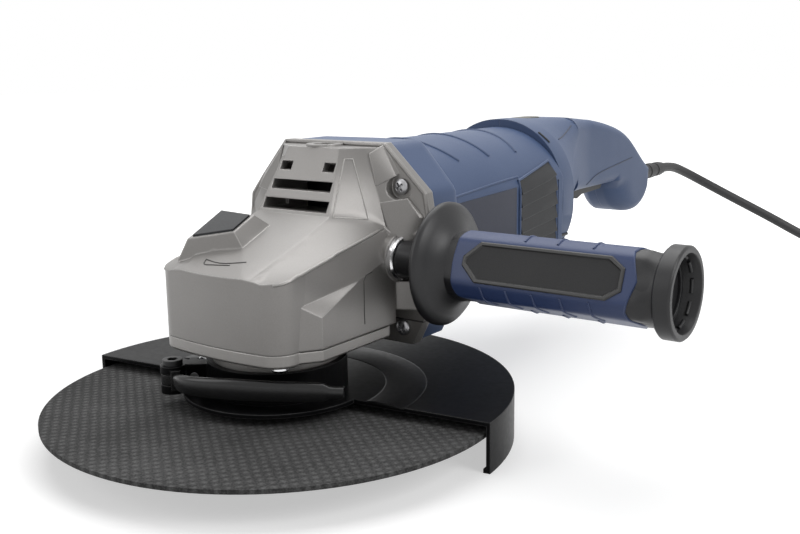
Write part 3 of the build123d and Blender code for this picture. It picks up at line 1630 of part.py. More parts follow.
with BuildPart() as side_handle_sleeve:
    with BuildSketch(sleeve_plane):
        sleeve_square = Rectangle(2 * sleeve_r, 2 * sleeve_r)
        chamfer(sleeve_square.vertices(), sleeve_corner)
    extrude(amount=sleeve_end - sleeve_start)
    fillet(side_handle_sleeve.edges().filter_by(Axis.X), sleeve_edge_r)
    chamfer(side_handle_sleeve.faces().sort_by(Axis.X)[-1].edges(), 1.5)
    with BuildSketch(sleeve_plane):
        Circle(sleeve_core_r + press_gap)
    extrude(amount=sleeve_end - sleeve_start, mode=Mode.SUBTRACT)
    for side in (-1, 1):
        with BuildSketch(panel_face(side)):
            panel_outline(0)
        extrude(amount=-panel_sink, mode=Mode.SUBTRACT)
save(side_handle_sleeve.part, "side_handle_sleeve")

with BuildPart() as side_handle_panels:
    for side in (-1, 1):
        with BuildSketch(panel_face(side)):
            panel_outline(running_gap)
        extrude(amount=-panel_sink)
save(side_handle_panels.part, "side_handle_panels")

side_handle_cup = turned_on_side(
    [
        (sleeve_end, 0),
        (sleeve_end, sleeve_r - 0.4),
        (cup_end - cup_rim - 2.0, sleeve_r - 0.4),
        (cup_end - cup_rim - 0.6, cup_r - 1.0),
        (cup_end - cup_rim + 0.4, cup_r),
        (cup_end - 0.8, cup_r),
        (cup_end, cup_r - 0.8),
        (cup_end, cup_r - 3.0),
        (cup_end - cup_depth, cup_r - 6.0),
        (cup_end - cup_depth, 0),
    ]
)
save(side_handle_cup, "side_handle_cup")

# Power cord: a free stretch that droops to the floor, then a flat coil of two layers
coil_step = 2 * cord_r + coil_gap
coil_z = floor_z + tie_thick + cord_r
coil_turns = coil_rounds + coil_start_angle / 360
coil_turns_out = coil_turns - coil_turns_in - coil_climb
tail_z = coil_z + coil_step


def coil_place(turn):
    """The coil's centre line after a number of turns."""
    inward = min(turn, coil_turns_in)
    outward = max(turn - coil_turns_in - coil_climb, 0)
    climbed = min(max(turn - coil_turns_in, 0), coil_climb) / coil_climb
    radius = coil_outer_r + coil_step * (outward - inward)
    angle = radians(coil_start_angle) - 2 * pi * turn
    return Vector(
        coil_x + radius * cos(angle), coil_y + radius * sin(angle), coil_z + coil_step * climbed
    )


def coil_heading(turn):
    """The way the coil's centre line runs after a number of turns."""
    heading = coil_place(turn + 0.002) - coil_place(turn - 0.002)
    if turn in (0, coil_turns):
        heading = Vector(heading.X, heading.Y, 0)
    return unit(heading)


coil_start = coil_place(0)
coil_entry = coil_heading(0)
cord_points = [
    Vector(0, boot_end, motor_z),
    Vector(0, 517, motor_z),
    Vector(4, 540, 78),
    Vector(16, 561, 66.5),
    Vector(40, 575, 51.5),
    Vector(72, 579.5, 36),
    Vector(104, 576, 21.5),
    Vector(138, 568, 10.8),
    Vector(170, 559, 4.5),
    coil_start - coil_entry * 26,
    coil_start,
]


def rounded_route(points):
    """Straight runs joined by tangent arcs, with the arcs' radii."""
    radii = []
    at = points[0]
    for before, corner, after in zip(points, points[1:], points[2:]):
        come = unit(corner - before)
        leave = unit(after - corner)
        setback = 0.45 * min((corner - before).length, (after - corner).length)
        Line(at, corner - come * setback)
        at = corner + leave * setback
        TangentArc(corner - come * setback, at, tangent=come)
        radii.append(setback / tan(radians(come.get_angle(leave)) / 2))
    Line(at, points[-1])
    return radii


with BuildPart() as power_cord:
    with BuildLine() as cord_line:
        cord_radii = rounded_route(cord_points)
    with BuildSketch(Plane(cord_points[0], z_dir=cord_points[1] - cord_points[0])):
        Circle(cord_r)
    sweep(path=cord_line.line)
save(power_cord.part, "power_cord")

coil_steps = [quarter / 4 for quarter in range(int(4 * coil_turns) + 1)] + [coil_turns]
coil_end = coil_place(coil_turns)
tail_heading = coil_heading(coil_turns)
tail_end = coil_end + tail_heading * tail_run
with BuildPart() as cord_coil:
    with BuildLine() as coil_line:
        biarc_line([coil_place(t) for t in coil_steps], [coil_heading(t) for t in coil_steps])
        Line(coil_end, tail_end)
    with BuildSketch(Plane(coil_start, z_dir=coil_entry)):
        Circle(cord_r)
    sweep(path=coil_line.line)
save(cord_coil.part, "cord_coil")

# Tie round the coil's bundle
bundle_in = coil_outer_r - coil_step * coil_turns_in - cord_r - coil_gap
bundle_out = coil_outer_r + cord_r + coil_gap + 1.0
bundle_top = tail_z + cord_r + 0.05
with BuildPart() as cord_tie:
    with Locations((coil_x - (bundle_in + bundle_out) / 2, coil_y, (floor_z + bundle_top + tie_thick) / 2)):
        Box(
            bundle_out - bundle_in + 2 * tie_thick,
            tie_w,
            bundle_top + tie_thick - floor_z,
        )
    with Locations((coil_x - (bundle_in + bundle_out) / 2, coil_y, (floor_z + bundle_top + tie_thick) / 2)):
        Box(
            bundle_out - bundle_in,
            tie_w,
            bundle_top - tie_thick - floor_z,
            mode=Mode.SUBTRACT,
        )
save(cord_tie.part, "cord_tie")

# Plug: a moulded body with two round pins, lying flat beside the coil
plug_thick = 2 * (tail_z - floor_z)
plug_plane = Plane(tail_end, x_dir=(0, 0, 1), z_dir=tail_heading)
with BuildPart() as plug_body:
    with BuildSketch(plug_plane):
        RectangleRounded(3.2 * cord_r, 3.4 * cord_r, 1.5 * cord_r)
    with BuildSketch(plug_plane.offset(0.6 * plug_len)):
        RectangleRounded(plug_thick, 2 * plug_half, 2.8 * cord_r)
    loft()
    with BuildSketch(plug_plane.offset(0.6 * plug_len)):
        RectangleRounded(plug_thick, 2 * plug_half, 2.8 * cord_r)
    extrude(amount=0.4 * plug_len)
save(plug_body.part, "plug_body")

with BuildPart() as plug_pins:
    with BuildSketch(plug_plane.offset(plug_len)):
        with Locations((0, plug_pin_pitch / 2), (0, -plug_pin_pitch / 2)):
            Circle(plug_pin_r)
    extrude(amount=plug_pin_len)
save(plug_pins.part, "plug_pins")

fine_turns = [coil_turns * step / 560 for step in range(561)]
print("cord radii", [round(radius, 1) for radius in cord_radii])
print("coil least self gap", round(least_self_gap([coil_place(t) for t in fine_turns], cord_r, 40), 2))
cord_length = sum(edge.length for edge in cord_line.edges() + coil_line.edges())
print("cord length", round(cord_length, 1))
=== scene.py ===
"""Looks of a two-handed corded angle grinder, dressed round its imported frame."""

import logging
import math
from collections.abc import Iterable, Sequence
from dataclasses import dataclass, replace
from enum import Enum

import bmesh
import bpy
from mathutils import Matrix, Quaternion, Vector
from mathutils.bvhtree import BVHTree


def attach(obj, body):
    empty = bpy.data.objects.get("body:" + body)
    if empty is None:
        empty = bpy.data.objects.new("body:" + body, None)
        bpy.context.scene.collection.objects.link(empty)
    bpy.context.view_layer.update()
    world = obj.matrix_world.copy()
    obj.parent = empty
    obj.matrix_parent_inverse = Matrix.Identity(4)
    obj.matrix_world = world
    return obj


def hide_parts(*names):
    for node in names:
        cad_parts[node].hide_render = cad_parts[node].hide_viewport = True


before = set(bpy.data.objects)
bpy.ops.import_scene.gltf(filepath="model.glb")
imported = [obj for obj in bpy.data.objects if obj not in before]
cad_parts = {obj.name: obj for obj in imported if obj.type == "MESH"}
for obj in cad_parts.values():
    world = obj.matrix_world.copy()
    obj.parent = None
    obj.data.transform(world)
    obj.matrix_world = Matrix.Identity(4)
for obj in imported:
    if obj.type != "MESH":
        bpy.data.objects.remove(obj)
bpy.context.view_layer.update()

LOG = logging.getLogger("grinder")
MM = 0.001
TINY = 1e-6
WHITE = (1.0, 1.0, 1.0, 1.0)

Point = tuple[float, float, float]
Flat = tuple[float, float]
Colour = tuple[float, float, float]
Socket = bpy.types.NodeSocket
Piece = bpy.types.Object
Shape = bmesh.types.BMesh
Spot = tuple[Vector, Vector, Vector]


class Grain(Enum):
    """The kinds of surface that the finishes are made of."""

    CAST = "cast"
    MOULDED = "moulded"
    LACQUER = "lacquer"
    ABRASIVE = "abrasive"
    TURNED = "turned"
    JACKET = "jacket"
    LAYERED = "layered"


class Ends(Enum):
    """How a row of rings is closed: back to its first ring, by two flat ends, or not at all."""

    JOINED = "joined"
    CAPPED = "capped"
    OPEN = "open"


def between(start: float, end: float, share: float) -> float:
    """Gives the value that lies a share of the way from one to another."""
    return start + (end - start) * share


def held(value: float) -> float:
    """Holds a value between 0 and 1."""
    return min(max(value, 0.0), 1.0)


def turns(count: int) -> list[float]:
    """Gives the angles of even steps round a circle."""
    return [2.0 * math.pi * step / count for step in range(count)]


class Board:
    """A node tree, with short ways to add its nodes and join them."""

    def __init__(self, tree: bpy.types.NodeTree, family: str = "") -> None:
        """Takes up a tree.

        Args:
            tree: the tree.
            family: how the type names of its nodes begin.
        """
        self.tree = tree
        self.family = family

    def add(self, kind: str, **settings: object) -> bpy.types.Node:
        """Adds a node.

        Args:
            kind: the node's type name, without the family's beginning.
            settings: properties of the node, or values of its inputs by name with _ for a space.

        Returns:
            The new node.
        """
        node = self.tree.nodes.new(self.family + kind)
        for key, value in settings.items():
            if hasattr(node, key):
                setattr(node, key, value)
            else:
                node.inputs[key.replace("_", " ")].default_value = value
        return node

    def join(self, source: Socket, target: Socket) -> None:
        """Joins an output to an input."""
        self.tree.links.new(source, target)


class ShaderBoard(Board):
    """A shader's node tree, with short ways to work out its values."""

    def __init__(self, tree: bpy.types.NodeTree) -> None:
        """Takes up a shader's tree."""
        super().__init__(tree, "ShaderNode")

    def ramp(self, source: Socket, low: float, high: float, one: Colour, two: Colour) -> Socket:
        """Turns a value into a colour between two others.

        Args:
            source: the value.
            low: the value that gives the first colour.
            high: the value that gives the second.
            one: the first colour.
            two: the second colour.

        Returns:
            The colour's socket.
        """
        node = self.add("ValToRGB")
        for stop, place, colour in zip(node.color_ramp.elements, (low, high), (one, two)):
            stop.position = place
            stop.color = (*colour, 1.0)
        self.join(source, node.inputs["Fac"])
        return node.outputs["Color"]

    def span(self, source: Socket, low: float, high: float, least: float, most: float) -> Socket:
        """Maps a value's range onto another.

        Args:
            source: the value.
            low: the range's start.
            high: the range's end.
            least: what the start becomes.
            most: what the end becomes.

        Returns:
            The mapped value's socket.
        """
        node = self.add("MapRange", From_Min=low, From_Max=high, To_Min=least, To_Max=most)
        self.join(source, node.inputs["Value"])
        return node.outputs["Result"]

    def math(self, operation: str, one: Socket, two: Socket | float) -> Socket:
        """Works out one value from two.

        Args:
            operation: the math node's operation.
            one: the first value's socket.
            two: the second value, a socket or a number.

        Returns:
            The result's socket.
        """
        node = self.add("Math", operation=operation)
        self.join(one, node.inputs[0])
        if isinstance(two, float):
            node.inputs[1].default_value = two
        else:
            self.join(two, node.inputs[1])
        return node.outputs[0]

    def blend(self, one: Socket, two: Socket, share: float) -> Socket:
        """Adds a share of one value to the rest of another.

        Args:
            one: the first value.
            two: the second value.
            share: the first value's share, from 0 to 1.

        Returns:
            The sum's socket.
        """
        return self.math("ADD", self.math("MULTIPLY", one, share), self.math("MULTIPLY", two, 1.0 - share))

    def in_view(self) -> Socket:
        """Gives 1 for what the camera sees straight, mirrored or through something, and else 0.

        Returns:
            The value's socket.
        """
        path = self.add("LightPath").outputs
        seen = self.math("ADD", path["Is Camera Ray"], path["Is Glossy Ray"])
        return self.math("ADD", seen, path["Is Transmission Ray"])


class NodeBoard(ShaderBoard):
    """A new material's node tree round its main shader."""

    def __init__(self, name: str) -> None:
        """Starts a material.

        Args:
            name: the material's name.
        """
        self.material = bpy.data.materials.new(name)
        self.material.use_nodes = True
        super().__init__(self.material.node_tree)
        self.shader = self.tree.nodes["Principled BSDF"]


CLOUD_SCALE = 28.0
CLOUD_DETAIL = 3.0
GRAIN_SHARE = 0.6
MIX_LOW, MIX_HIGH = 0.3, 0.7
NET_SCALE = 72.0
NET_TURN = math.radians(38.0)
NET_SHARE = 0.45
DETAIL = {Grain.CAST: 4.0, Grain.MOULDED: 2.0, Grain.LACQUER: 0.5, Grain.JACKET: 3.0}


@dataclass(frozen=True)
class Finish:
    """A surface finish: its colours, its gloss and the grain that breaks them up."""

    name: str
    slot: str
    colour: Colour
    shade: Colour
    grain: Grain
    grain_mm: float
    relief_mm: float
    smooth: float
    rough: float
    metallic: float = 0.0
    specular: float = 0.5
    edge_mm: float = 0.5
    # The edge colour is a painted highlight along the edges, partly also wear.
    edge_highlight_and_wear: Colour | None = None

    def material(self) -> bpy.types.Material:
        """Builds the finish once and gives it again after that.

        Returns:
            The material.
        """
        found = bpy.data.materials.get(self.name)
        if found is not None:
            return found
        board = NodeBoard(self.name)
        shader = board.shader.inputs
        shader["Metallic"].default_value = self.metallic
        shader["Specular IOR Level"].default_value = self.specular
        place = board.add("TexCoord").outputs["Object"]
        value = self.pattern(board, place)
        cloud = board.add("TexNoise", Scale=CLOUD_SCALE, Detail=CLOUD_DETAIL)
        board.join(place, cloud.inputs["Vector"])
        mixed = board.blend(value, cloud.outputs["Fac"], GRAIN_SHARE)
        colour = board.ramp(mixed, MIX_LOW, MIX_HIGH, self.shade, self.colour)
        soft = board.add("Bevel", samples=6, Radius=self.edge_mm * MM)
        # Painted highlight, partly wear: the edges are lightened towards the edge colour.
        if self.edge_highlight_and_wear is not None:
            colour = self.highlight_and_wear(board, colour, soft.outputs["Normal"], cloud.outputs["Fac"])
        board.join(colour, shader["Base Color"])
        board.join(board.span(mixed, MIX_LOW, MIX_HIGH, self.rough, self.smooth), shader["Roughness"])
        bump = board.add("Bump", Strength=1.0, Distance=self.relief_mm * MM)
        board.join(value, bump.inputs["Height"])
        board.join(soft.outputs["Normal"], bump.inputs["Normal"])
        board.join(bump.outputs["Normal"], shader["Normal"])
        return board.material

    def pattern(self, board: NodeBoard, place: Socket) -> Socket:
        """Builds the grain's height, from 0 to 1.

        Args:
            board: the material's board.
            place: the coordinates to build it on.

        Returns:
            The height's socket.
        """
        scale = 1.0 / (self.grain_mm * MM)
        if self.grain is Grain.ABRASIVE:
            return self.abrasive(board, place, scale)
        if self.grain is Grain.TURNED:
            rings = {"wave_type": "RINGS", "rings_direction": "SPHERICAL"}
            grain = board.add("TexWave", **rings, Scale=scale, Distortion=1.5, Detail=2.0)
        elif self.grain is Grain.LAYERED:
            grain = board.add("TexWave", bands_direction="Y", Scale=scale, Distortion=0.4)
        else:
            grain = board.add("TexNoise", Scale=scale, Detail=DETAIL[self.grain], Roughness=0.6)
        board.join(place, grain.inputs["Vector"])
        return grain.outputs["Fac"]

    def abrasive(self, board: NodeBoard, place: Socket, scale: float) -> Socket:
        """Builds bonded grit over the square net that holds it together.

        Args:
            board: the material's board.
            place: the coordinates to build it on.
            scale: how many grains to the metre.

        Returns:
            The height's socket.
        """
        grit = board.add("TexVoronoi", Scale=scale)
        board.join(place, grit.inputs["Vector"])
        turned = board.add("Mapping", Rotation=(0.0, 0.0, NET_TURN))
        board.join(place, turned.inputs["Vector"])
        threads = []
        for way in ("X", "Y"):
            thread = board.add("TexWave", bands_direction=way, Scale=NET_SCALE, Distortion=0.8, Detail=1.0)
            board.join(turned.outputs["Vector"], thread.inputs["Vector"])
            threads.append(thread.outputs["Fac"])
        sharp = board.span(grit.outputs["Distance"], 0.1, 0.8, 0.85, 0.15)
        return board.blend(board.math("MULTIPLY", *threads), sharp, NET_SHARE)

    def highlight_and_wear(self, board: NodeBoard, colour: Socket, soft: Socket, cloud: Socket) -> Socket:
        """Lightens the edges towards the edge colour: a painted highlight, partly also wear where hands and benches
        rub the finish.

        Args:
            board: the material's board.
            colour: the colour away from the edges.
            soft: the normals, rounded at the edges.
            cloud: a slow noise that makes the painted highlight and wear uneven.

        Returns:
            The colour's socket, with the painted highlight and wear on its edges.
        """
        along = board.add("VectorMath", operation="DOT_PRODUCT")
        board.join(soft, along.inputs[0])
        board.join(board.add("NewGeometry").outputs["Normal"], along.inputs[1])
        edge = board.span(along.outputs["Value"], 0.985, 0.8, 0.0, 1.0)
        uneven = board.math("MULTIPLY", edge, board.span(cloud, 0.3, 0.6, 0.3, 0.9))
        mix = board.add("Mix", data_type="RGBA")
        mix.inputs[7].default_value = (*self.edge_highlight_and_wear, 1.0)
        board.join(uneven, mix.inputs[0])
        board.join(colour, mix.inputs[6])
        return mix.outputs[2]


# The edge colours below paint a highlight along each finish's edges, partly also wear.
CASTING = Finish(
    "satin_nickel_casting", "casting", (0.27, 0.26, 0.251), (0.228, 0.219, 0.211), Grain.CAST, 0.5, 0.02,
    0.32, 0.4, metallic=0.38, edge_mm=1.2, edge_highlight_and_wear=(0.62, 0.605, 0.59),
)
# A paler casting: the bearing cover's own tone, and also a painted highlight on the roof edges and facet borders.
PALE_CASTING_AND_HIGHLIGHT = Finish(
    "pale_cover_casting_and_highlight", "casting", (0.33, 0.318, 0.306), (0.28, 0.27, 0.26), Grain.CAST, 0.5, 0.015,
    0.32, 0.4, metallic=0.4, edge_mm=0.9, edge_highlight_and_wear=(0.66, 0.65, 0.63),
)
# Painted shade: a dark finish for the seam, the engraved arrow and the draft lines, standing for the shade in their
# grooves.
GROOVE_SHADE = Finish(
    "engraved_shadow", "casting", (0.075, 0.073, 0.071), (0.05, 0.048, 0.047), Grain.CAST, 0.4, 0.01,
    0.5, 0.65, metallic=0.2,
)
STEEL = Finish(
    "machined_steel", "steel", (0.42, 0.42, 0.43), (0.3, 0.3, 0.31), Grain.TURNED, 1.2, 0.01,
    0.28, 0.4, metallic=0.9, edge_mm=0.4,
)
BRIGHT = Finish(
    "bright_steel", "bright_steel", (0.72, 0.71, 0.7), (0.6, 0.59, 0.58), Grain.CAST, 0.6, 0.004,
    0.18, 0.28, metallic=1.0, edge_mm=0.4,
)
DISC = Finish(
    "bonded_abrasive", "disc", (0.1, 0.1, 0.1), (0.03, 0.03, 0.03), Grain.ABRASIVE, 0.9, 0.12,
    0.75, 0.95, edge_mm=0.3, specular=0.3,
)
GUARD = Finish(
    "gloss_black_lacquer", "guard_black", (0.007, 0.007, 0.0075), (0.004, 0.004, 0.0045), Grain.LACQUER, 2.5, 0.006,
    0.3, 0.36, edge_mm=0.8, specular=0.06, edge_highlight_and_wear=(0.12, 0.12, 0.122),
)
GUARD_PLAIN = replace(GUARD, name="gloss_black_pressing", edge_mm=1.4, specular=0.12, edge_highlight_and_wear=None)
LEVER = Finish(
    "lacquered_lever", "guard_black", (0.008, 0.008, 0.0084), (0.006, 0.006, 0.0063), Grain.LACQUER, 3.0, 0.002,
    0.22, 0.28, edge_mm=0.5, specular=0.4,
)
BLUE = Finish(
    "slate_blue_plastic", "blue_plastic", (0.064, 0.1, 0.195), (0.054, 0.086, 0.172), Grain.MOULDED, 0.45, 0.018,
    0.4, 0.5, edge_mm=0.9, edge_highlight_and_wear=(0.13, 0.17, 0.28), specular=0.35,
)
# Painted shade: a darker blue laid along the grip's creases.
BLUE_CREASE_SHADE = Finish(
    "blue_in_shadow", "blue_plastic", (0.036, 0.049, 0.09), (0.028, 0.039, 0.072), Grain.MOULDED, 0.5, 0.01,
    0.5, 0.6,
)
# Painted shade: a slightly darker blue in the crescent grooves.
BLUE_GROOVE_SHADE = Finish(
    "blue_hollow_shade", "blue_plastic", (0.05, 0.079, 0.158), (0.043, 0.069, 0.14), Grain.MOULDED, 0.45, 0.018,
    0.45, 0.55, specular=0.3,
)
BLUE_RICH = Finish(
    "rich_blue_plastic", "blue_plastic", (0.03, 0.052, 0.14), (0.024, 0.043, 0.12), Grain.MOULDED, 0.5, 0.015,
    0.34, 0.44, edge_mm=0.8, edge_highlight_and_wear=(0.15, 0.19, 0.33), specular=0.4,
)
LABEL = Finish(
    "dark_label_plate", "blue_plastic", (0.017, 0.022, 0.045), (0.013, 0.017, 0.036), Grain.MOULDED, 0.9, 0.006,
    0.34, 0.42, edge_mm=0.3, specular=0.35,
)
BLACK = Finish(
    "satin_black_plastic", "black_plastic", (0.015, 0.015, 0.016), (0.010, 0.010, 0.011), Grain.MOULDED, 0.5, 0.018,
    0.38, 0.5, edge_mm=0.7, edge_highlight_and_wear=(0.04, 0.04, 0.042), specular=0.4,
)
PAD = Finish(
    "dark_grey_pad", "black_plastic", (0.019, 0.02, 0.022), (0.013, 0.014, 0.016), Grain.MOULDED, 0.6, 0.02,
    0.42, 0.55, edge_mm=0.6, edge_highlight_and_wear=(0.045, 0.045, 0.05), specular=0.35,
)
HANDLE_BLACK = Finish(
    "soft_black_grip", "black_plastic", (0.016, 0.016, 0.018), (0.011, 0.011, 0.012), Grain.MOULDED, 0.45, 0.02,
    0.34, 0.44, edge_mm=0.9, edge_highlight_and_wear=(0.05, 0.051, 0.054), specular=0.4,
)
OLIVE = Finish(
    "olive_catch_plastic", "black_plastic", (0.06, 0.058, 0.038), (0.042, 0.04, 0.027), Grain.MOULDED, 0.5, 0.015,
    0.36, 0.48, edge_mm=0.6,
)
RUBBER = Finish(
    "black_rubber", "rubber", (0.022, 0.022, 0.023), (0.013, 0.013, 0.014), Grain.JACKET, 0.8, 0.02,
    0.5, 0.62,
)
PANEL = Finish(
    "panel_rubber", "rubber", (0.013, 0.013, 0.014), (0.008, 0.008, 0.009), Grain.JACKET, 0.5, 0.03,
    0.5, 0.62, edge_mm=0.4, specular=0.35,
)
PANEL_EDGE = Finish(
    "panel_border_rubber", "rubber", (0.028, 0.028, 0.028), (0.018, 0.018, 0.019), Grain.MOULDED, 0.5, 0.015,
    0.36, 0.46, edge_highlight_and_wear=(0.075, 0.073, 0.07),
)
COPPER = Finish(
    "wound_copper", "copper", (0.62, 0.27, 0.13), (0.4, 0.16, 0.07), Grain.LAYERED, 0.9, 0.1,
    0.3, 0.45, metallic=0.9,
)
BRONZE = Finish(
    "sintered_bronze", "bronze", (0.45, 0.3, 0.13), (0.34, 0.22, 0.09), Grain.CAST, 0.4, 0.02,
    0.35, 0.5, metallic=0.85,
)
LAMINATE = Finish(
    "core_laminate", "laminate", (0.22, 0.22, 0.23), (0.12, 0.12, 0.13), Grain.LAYERED, 1.0, 0.08,
    0.4, 0.55, metallic=0.7,
)
CARBON = Finish(
    "brush_carbon", "carbon", (0.03, 0.03, 0.031), (0.018, 0.018, 0.019), Grain.JACKET, 0.5, 0.02,
    0.55, 0.7,
)


def settle(piece: Piece, finish: Finish, body: str, *nodes: str) -> Piece:
    """Gives a piece its finish and its body, logs them, and hides the frame nodes that it stands for.

    Args:
        piece: the piece, in place.
        finish: its finish.
        body: the body that it rides on.
        nodes: the frame nodes that it replaces.

    Returns:
        The piece.
    """
    if not piece.data.materials:
        piece.data.materials.append(finish.material())
    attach(piece, body)
    if nodes:
        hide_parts(*nodes)
    LOG.info("%s rides on %s in %s", piece.name, body, finish.name)
    return piece


def piece_from(name: str, shape: Shape, angle: float = 32.0) -> Piece:
    """Makes an object of a finished shape, shaded smooth between its sharp edges.

    Args:
        name: the piece's name.
        shape: the shape, which is freed.
        angle: the least angle of a sharp edge, in degrees.

    Returns:
        The object.
    """
    for face in shape.faces:
        face.smooth = True
    for edge in shape.edges:
        edge.smooth = len(edge.link_faces) == 2 and edge.calc_face_angle(0.0) < math.radians(angle)
    mesh = bpy.data.meshes.new(name)
    shape.to_mesh(mesh)
    shape.free()
    piece = bpy.data.objects.new(name, mesh)
    bpy.context.scene.collection.objects.link(piece)
    return piece


def node_shape(node: str) -> Shape:
    """Copies a frame node's mesh with its loose triangles joined up.

    Args:
        node: the node's name.

    Returns:
        The joined shape.
    """
    shape = bmesh.new()
    shape.from_mesh(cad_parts[node].data)
    bmesh.ops.remove_doubles(shape, verts=shape.verts, dist=2e-6)
    return shape


def dress(node: str, finish: Finish, body: str) -> Piece:
    """Stands a joined and smoothed copy of a frame node in its place."""
    return settle(piece_from(node + "_skin", node_shape(node)), finish, body, node)


def cut(
    shape: Shape, place: Sequence[float], way: Sequence[float], faces: Iterable[bmesh.types.BMFace] | None = None,
    dist: float = 1e-7, drop: bool = False,
) -> list[bmesh.types.BMVert | bmesh.types.BMEdge]:
    """Cuts a shape along a plane.

    Args:
        shape: the shape.
        place: a place on the plane, in metres.
        way: the way that the plane faces.
        faces: the faces to cut, or none for the whole shape.
        dist: how close to the plane a corner counts as on it.
        drop: whether what lies beyond the plane goes.

    Returns:
        The corners and edges along the cut.
    """
    chosen = list(shape.faces if faces is None else faces)
    edges = dict.fromkeys(edge for face in chosen for edge in face.edges)
    verts = dict.fromkeys(vert for face in chosen for vert in face.verts)
    geom = [*verts, *edges, *chosen]
    done = bmesh.ops.bisect_plane(shape, geom=geom, dist=dist, plane_co=place, plane_no=way, clear_outer=drop)
    return done["geom_cut"]


class ShapeBoard(Board):
    """A geometry node tree with named sizes, made once and grown into many pieces."""

    def __init__(self, name: str, *sizes: str) -> None:
        """Starts a tree.

        Args:
            name: the tree's name.
            sizes: the names of its number inputs.
        """
        super().__init__(bpy.data.node_groups.new(name, "GeometryNodeTree"))
        face = self.tree.interface
        numbers = [(size, "Float") for size in sizes]
        inputs = [("Geometry", "Geometry"), *numbers, ("Shape", "Object"), ("Finish", "Material")]
        for label, kind in inputs:
            face.new_socket(label, in_out="INPUT", socket_type="NodeSocket" + kind)
        face.new_socket("Geometry", in_out="OUTPUT", socket_type="NodeSocketGeometry")
        self.given = self.add("NodeGroupInput").outputs

    def close(self, shape: Socket) -> None:
        """Ends the tree in real faces with the finish on them.

        Args:
            shape: what the tree has made.
        """
        real = self.add("GeometryNodeRealizeInstances")
        coat = self.add("GeometryNodeSetMaterial")
        self.join(shape, real.inputs["Geometry"])
        self.join(real.outputs["Geometry"], coat.inputs["Geometry"])
        self.join(self.given["Finish"], coat.inputs["Material"])
        self.join(coat.outputs["Geometry"], self.add("NodeGroupOutput").inputs["Geometry"])

    def grow(
        self, name: str, seed: bpy.types.Mesh, finish: Finish, shape: Piece | None = None, **sizes: float
    ) -> Piece:
        """Grows a plain mesh piece on a seed of points or paths.

        Args:
            name: the piece's name.
            seed: the points or paths.
            finish: the piece's finish.
            shape: the shape that repeats, where there is one.
            sizes: values of the number inputs by name.

        Returns:
            The piece.
        """
        source = bpy.data.objects.new(name + "_seed", seed)
        bpy.context.scene.collection.objects.link(source)
        modifier = source.modifiers.new("grow", "NODES")
        modifier.node_group = self.tree
        values = {"Finish": finish.material(), "Shape": shape, **sizes}
        for socket in self.tree.interface.items_tree:
            if socket.in_out == "INPUT" and values.get(socket.name) is not None:
                modifier[socket.identifier] = values[socket.name]
        graph = bpy.context.evaluated_depsgraph_get()
        mesh = bpy.data.meshes.new_from_object(source.evaluated_get(graph))
        source.modifiers.clear()
        bpy.data.objects.remove(source)
        grown = bmesh.new()
        grown.from_mesh(mesh)
        bpy.data.meshes.remove(mesh)
        bmesh.ops.remove_doubles(grown, verts=grown.verts, dist=TINY)
        bmesh.ops.recalc_face_normals(grown, faces=grown.faces)
        return piece_from(name, grown)


def bead_board() -> ShapeBoard:
    """Makes the tree that lays a round bead, thinner towards its ends, along each path.

    Returns:
        The tree's board.
    """
    board = ShapeBoard("bead_on_path", "Radius", "Taper")
    path = board.add("GeometryNodeMeshToCurve")
    along = board.add("GeometryNodeSplineParameter")
    turn = board.add("ShaderNodeMath", operation="MULTIPLY")
    turn.inputs[1].default_value = math.pi
    swell = board.add("ShaderNodeMath", operation="SINE")
    blend = board.add("ShaderNodeMix")
    blend.inputs[2].default_value = 1.0
    width = board.add("GeometryNodeSetCurveRadius")
    ring = board.add("GeometryNodeCurvePrimitiveCircle", Resolution=8)
    tube = board.add("GeometryNodeCurveToMesh", Fill_Caps=True)
    board.join(board.given["Geometry"], path.inputs["Mesh"])
    board.join(along.outputs["Factor"], turn.inputs[0])
    board.join(turn.outputs[0], swell.inputs[0])
    board.join(board.given["Taper"], blend.inputs[0])
    board.join(swell.outputs[0], blend.inputs[3])
    board.join(path.outputs["Curve"], width.inputs["Curve"])
    board.join(blend.outputs[0], width.inputs["Radius"])
    board.join(board.given["Radius"], ring.inputs["Radius"])
    board.join(width.outputs["Curve"], tube.inputs["Curve"])
    board.join(ring.outputs["Curve"], tube.inputs["Profile Curve"])
    board.close(tube.outputs["Mesh"])
    return board


def stud_board() -> ShapeBoard:
    """Makes the tree that stands a shape on each point, facing and turned as the point says.

    Returns:
        The tree's board.
    """
    board = ShapeBoard("stud_on_point")
    turned = board.add("FunctionNodeAxesToRotation", primary_axis="Z", secondary_axis="X")
    for index, key in enumerate(("facing", "along")):
        field = board.add("GeometryNodeInputNamedAttribute", data_type="FLOAT_VECTOR", Name=key)
        board.join(field.outputs["Attribute"], turned.inputs[index])
    shape = board.add("GeometryNodeObjectInfo")
    placed = board.add("GeometryNodeInstanceOnPoints")
    board.join(board.given["Shape"], shape.inputs["Object"])
    board.join(board.given["Geometry"], placed.inputs["Points"])
    board.join(shape.outputs["Geometry"], placed.inputs["Instance"])
    board.join(turned.outputs[0], placed.inputs["Rotation"])
    board.close(placed.outputs["Instances"])
    return board


BEADS = bead_board()
STUDS = stud_board()


